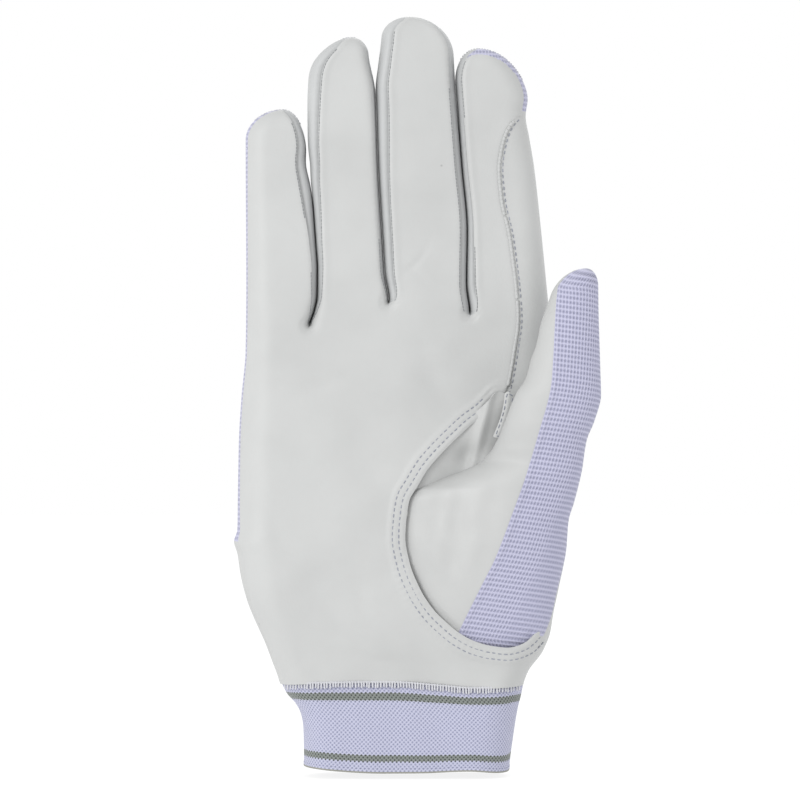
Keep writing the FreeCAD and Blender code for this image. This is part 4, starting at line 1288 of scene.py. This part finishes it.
def make_cuff_seam():
    """The overlocked seam: threads that wrap the leather's lower edge where it meets the cuff."""
    loops = []
    for back in (False, True):
        x = np.arange(-36.6, 33.4, 0.84)
        x = x + rng.uniform(-0.08, 0.08, len(x))
        z = CUFF_SEAM(x)
        full = corner(x + 38.4, 11.5, 2.2) * corner(34.7 - x, 11.5, 2.2)
        y = (13.75 * full + 0.18) * (1 if back else -1)
        up = np.stack([0 * x, np.sign(y), 0 * x], -1)
        reach = 1.45 + rng.uniform(-0.25, 0.25, len(x))
        start = np.stack([x, y * 1.010, z + 0.75], -1)
        end = np.stack([x + rng.uniform(-0.15, 0.15, len(x)), y * 0.985, z - reach], -1)
        loops.append(capsules(start, end, up, 0.29))
        line = np.stack([x, y * 1.010, z + 0.35], -1)
        loops.append(capsules(line[:-1], line[1:], up[:-1], 0.17))
    obj = make_object("cuff_overlock_seam", join(*loops), ["white_thread"])
    place_in_frame(obj, "cuff_overlock_seam")


# ---------------------------------------------------------------- stitches and small patches

def make_stitching():
    """The two rows round the thumb's hole, and the row beside the index seam on the palm."""
    rows = []
    for offset in (2.0, 3.9):
        x, z = hole_edge_line(offset, 0.6 if offset < 3 else 3.0, HOLE_LENGTH - 6.5)
        lane = np.where(x > SLITS[2](z), 3, np.where(x > SLITS[1](z), 2, 1))
        p = np.zeros((len(x), 3))
        n = np.zeros((len(x), 3))
        for i in (1, 2, 3):
            pick = lane == i
            if pick.any():
                p[pick], n[pick] = surface_points(x[pick], z[pick], i)
        rows.append(stitch_line(p, n, 1.8, 1.2, 0.19, 0, sink=0.14))
    beside_index = index_seam_thread(101.0, KNUCKLE_SPLIT, 0)
    for name, threads in (("thumb_hole_stitches", join(*rows)), ("index_seam_stitches", beside_index)):
        place_in_frame(make_object(name, threads, ["thread"]), name)


def panel(name, half_width, half_height, radius, place, thickness, material, body="hand", crown=0.25,
          stitches=None):
    """A flat piece with rounded corners, laid on the glove by place(u, v, lift); stitches is their inset."""
    u = np.linspace(-half_width, half_width, int(half_width * 3) + 2)
    v = np.linspace(-half_height, half_height, int(half_height * 3) + 2)
    vv, uu = np.meshgrid(v, u, indexing="ij")
    du = np.abs(uu) - (half_width - radius)
    dv = np.abs(vv) - (half_height - radius)
    inside = radius - np.hypot(np.maximum(du, 0), np.maximum(dv, 0)) - np.minimum(np.maximum(du, dv), 0)
    lift = crown * corner(inside, 1.2)
    points = place(uu, vv, lift).reshape(-1, 3)
    sheet = Sheet()
    sheet.add(points, grid(len(v), len(u)), np.stack([uu, vv], -1).reshape(-1, 2), 0)
    sheet.smooth_normals()
    sheet.clip(inside.ravel() + 1e-6)
    extra = None
    names = [material]
    if stitches:
        angle = np.linspace(0, 1, 400) * 2 * np.pi
        squareness = 0.25
        cos, sin = np.cos(angle), np.sin(angle)
        cu = (half_width - stitches) * np.sign(cos) * np.abs(cos) ** squareness
        cv = (half_height - stitches) * np.sign(sin) * np.abs(sin) ** squareness
        top = crown + 0 * cu
        p = place(cu, cv, top)
        n = np.cross(place(cu + 0.2, cv, top) - p, place(cu, cv + 0.2, top) - p)
        n /= np.linalg.norm(n, axis=1, keepdims=True)
        extra = stitch_line(p, n, 1.9, 1.25, 0.18, 1, sink=0.12)
        names.append("thread")
    place_in_frame(make_object(name, sheet, names, thickness, extra), name, body)


def on_back(centre_x, centre_z, y):
    """Lays a piece flat on the back of the hand: its u runs to the left as seen from behind."""
    def place(u, v, lift):
        return np.stack([centre_x - u, y + lift + 0 * u, centre_z + v], -1)
    return place


def make_closure():
    """The tab across the wrist, its hook patch, the loop patch under it and the tab's sewn-down end."""
    height = 53.0
    tab_face = 18.2
    panel("loop_patch", 17.0, 8.0, 3.0, on_back(-7.0, height, 15.55), 0.8, "loop", crown=0.2)
    panel("hook_patch", 13.0, 8.0, 3.0, on_back(-11.0, height, 16.75), 0.8, "hook", "closure_tab", crown=0.15)
    panel("closure_tab", 22.85, 10.0, 8.0, on_back(-3.15, height, tab_face), 1.4, "yoke_leather",
          "closure_tab", crown=0.3, stitches=2.2)

    def sewn(u, v, lift):
        x = 25.7 - u
        y = tab_face + lift - 3.2 * smooth((x - 24.0) / 9.0)
        return np.stack([x, y, height + v], -1)
    panel("tab_sewn_end", 5.4, 10.0, 1.0, sewn, 1.4, "yoke_leather", crown=0.3, stitches=1.7)


def make_web_patch():
    """The folded strip that backs the thumb's crotch on the palm."""
    def place(u, v, lift):
        t = (v + 7.0) / 14.0
        x = 26.6 + 3.6 * t + 0.8 * np.sin(t * 3.1) + u * 0.95
        z = 100.6 + 13.6 * t - 0.2 * u
        y = -(12.2 + 0.9 * t + lift + 0.4 * bump(u + 0.2, 0.5))
        return np.stack([x, y, z], -1)
    panel("web_patch", 1.55, 7.0, 0.5, place, 0.6, "palm_leather", crown=0.25, stitches=0.55)


# ---------------------------------------------------------------- lights, floor and camera

def make_stage():
    """A white room: an even world, a glowing floor just under the cuff, three lamps and the camera."""
    scene = bpy.context.scene
    world = bpy.data.worlds.new("studio")
    world.use_nodes = True
    background = world.node_tree.nodes["Background"]
    background.inputs["Color"].default_value = (1, 1, 1, 1)
    background.inputs["Strength"].default_value = 1.0
    scene.world = world
    scene.view_settings.view_transform = "Standard"
    scene.view_settings.look = "None"

    mesh = bpy.data.meshes.new("floor")
    half = 3
    low = -0.8 * MM
    mesh.from_pydata([(-half, -half, low), (half, -half, low), (half, half, low), (-half, half, low)], [],
                     [(0, 1, 2, 3)])
    floor = bpy.data.objects.new("floor", mesh)
    scene.collection.objects.link(floor)
    _, shader = new_material("floor", roughness=1.0, specular=0.0)
    shader.inputs["Base Color"].default_value = (0.2, 0.2, 0.2, 1)
    shader.inputs["Emission Color"].default_value = (1, 1, 1, 1)
    shader.inputs["Emission Strength"].default_value = 0.85
    mesh.materials.append(MATERIALS["floor"])

    for name, place, size, power in (
            ("key", (-0.8, -0.85, 0.45), 0.5, 5.4),
            ("fill", (0.8, -0.7, 0.2), 0.8, 0.5),
            ("rim", (0.2, 0.9, 0.6), 0.6, 1.5)):
        light = bpy.data.lights.new(name, "AREA")
        light.energy = power
        light.size = size
        lamp = bpy.data.objects.new(name, light)
        lamp.location = place
        lamp.rotation_euler = (Vector((0, 0, 0.12)) - Vector(place)).to_track_quat("-Z", "Y").to_euler()
        scene.collection.objects.link(lamp)

    camera = bpy.data.cameras.new("camera")
    camera.lens = 200
    camera.sensor_width = 36
    eye = bpy.data.objects.new("camera", camera)
    eye.location = (-0.0024, -1.3333, 0.1119)
    eye.rotation_euler = (math.radians(90), 0, 0)
    camera.clip_end = 20
    scene.collection.objects.link(eye)
    scene.camera = eye


make_hand()
make_thumb()
make_cuff()
make_cuff_seam()
make_stitching()
make_closure()
make_web_patch()
make_stage()
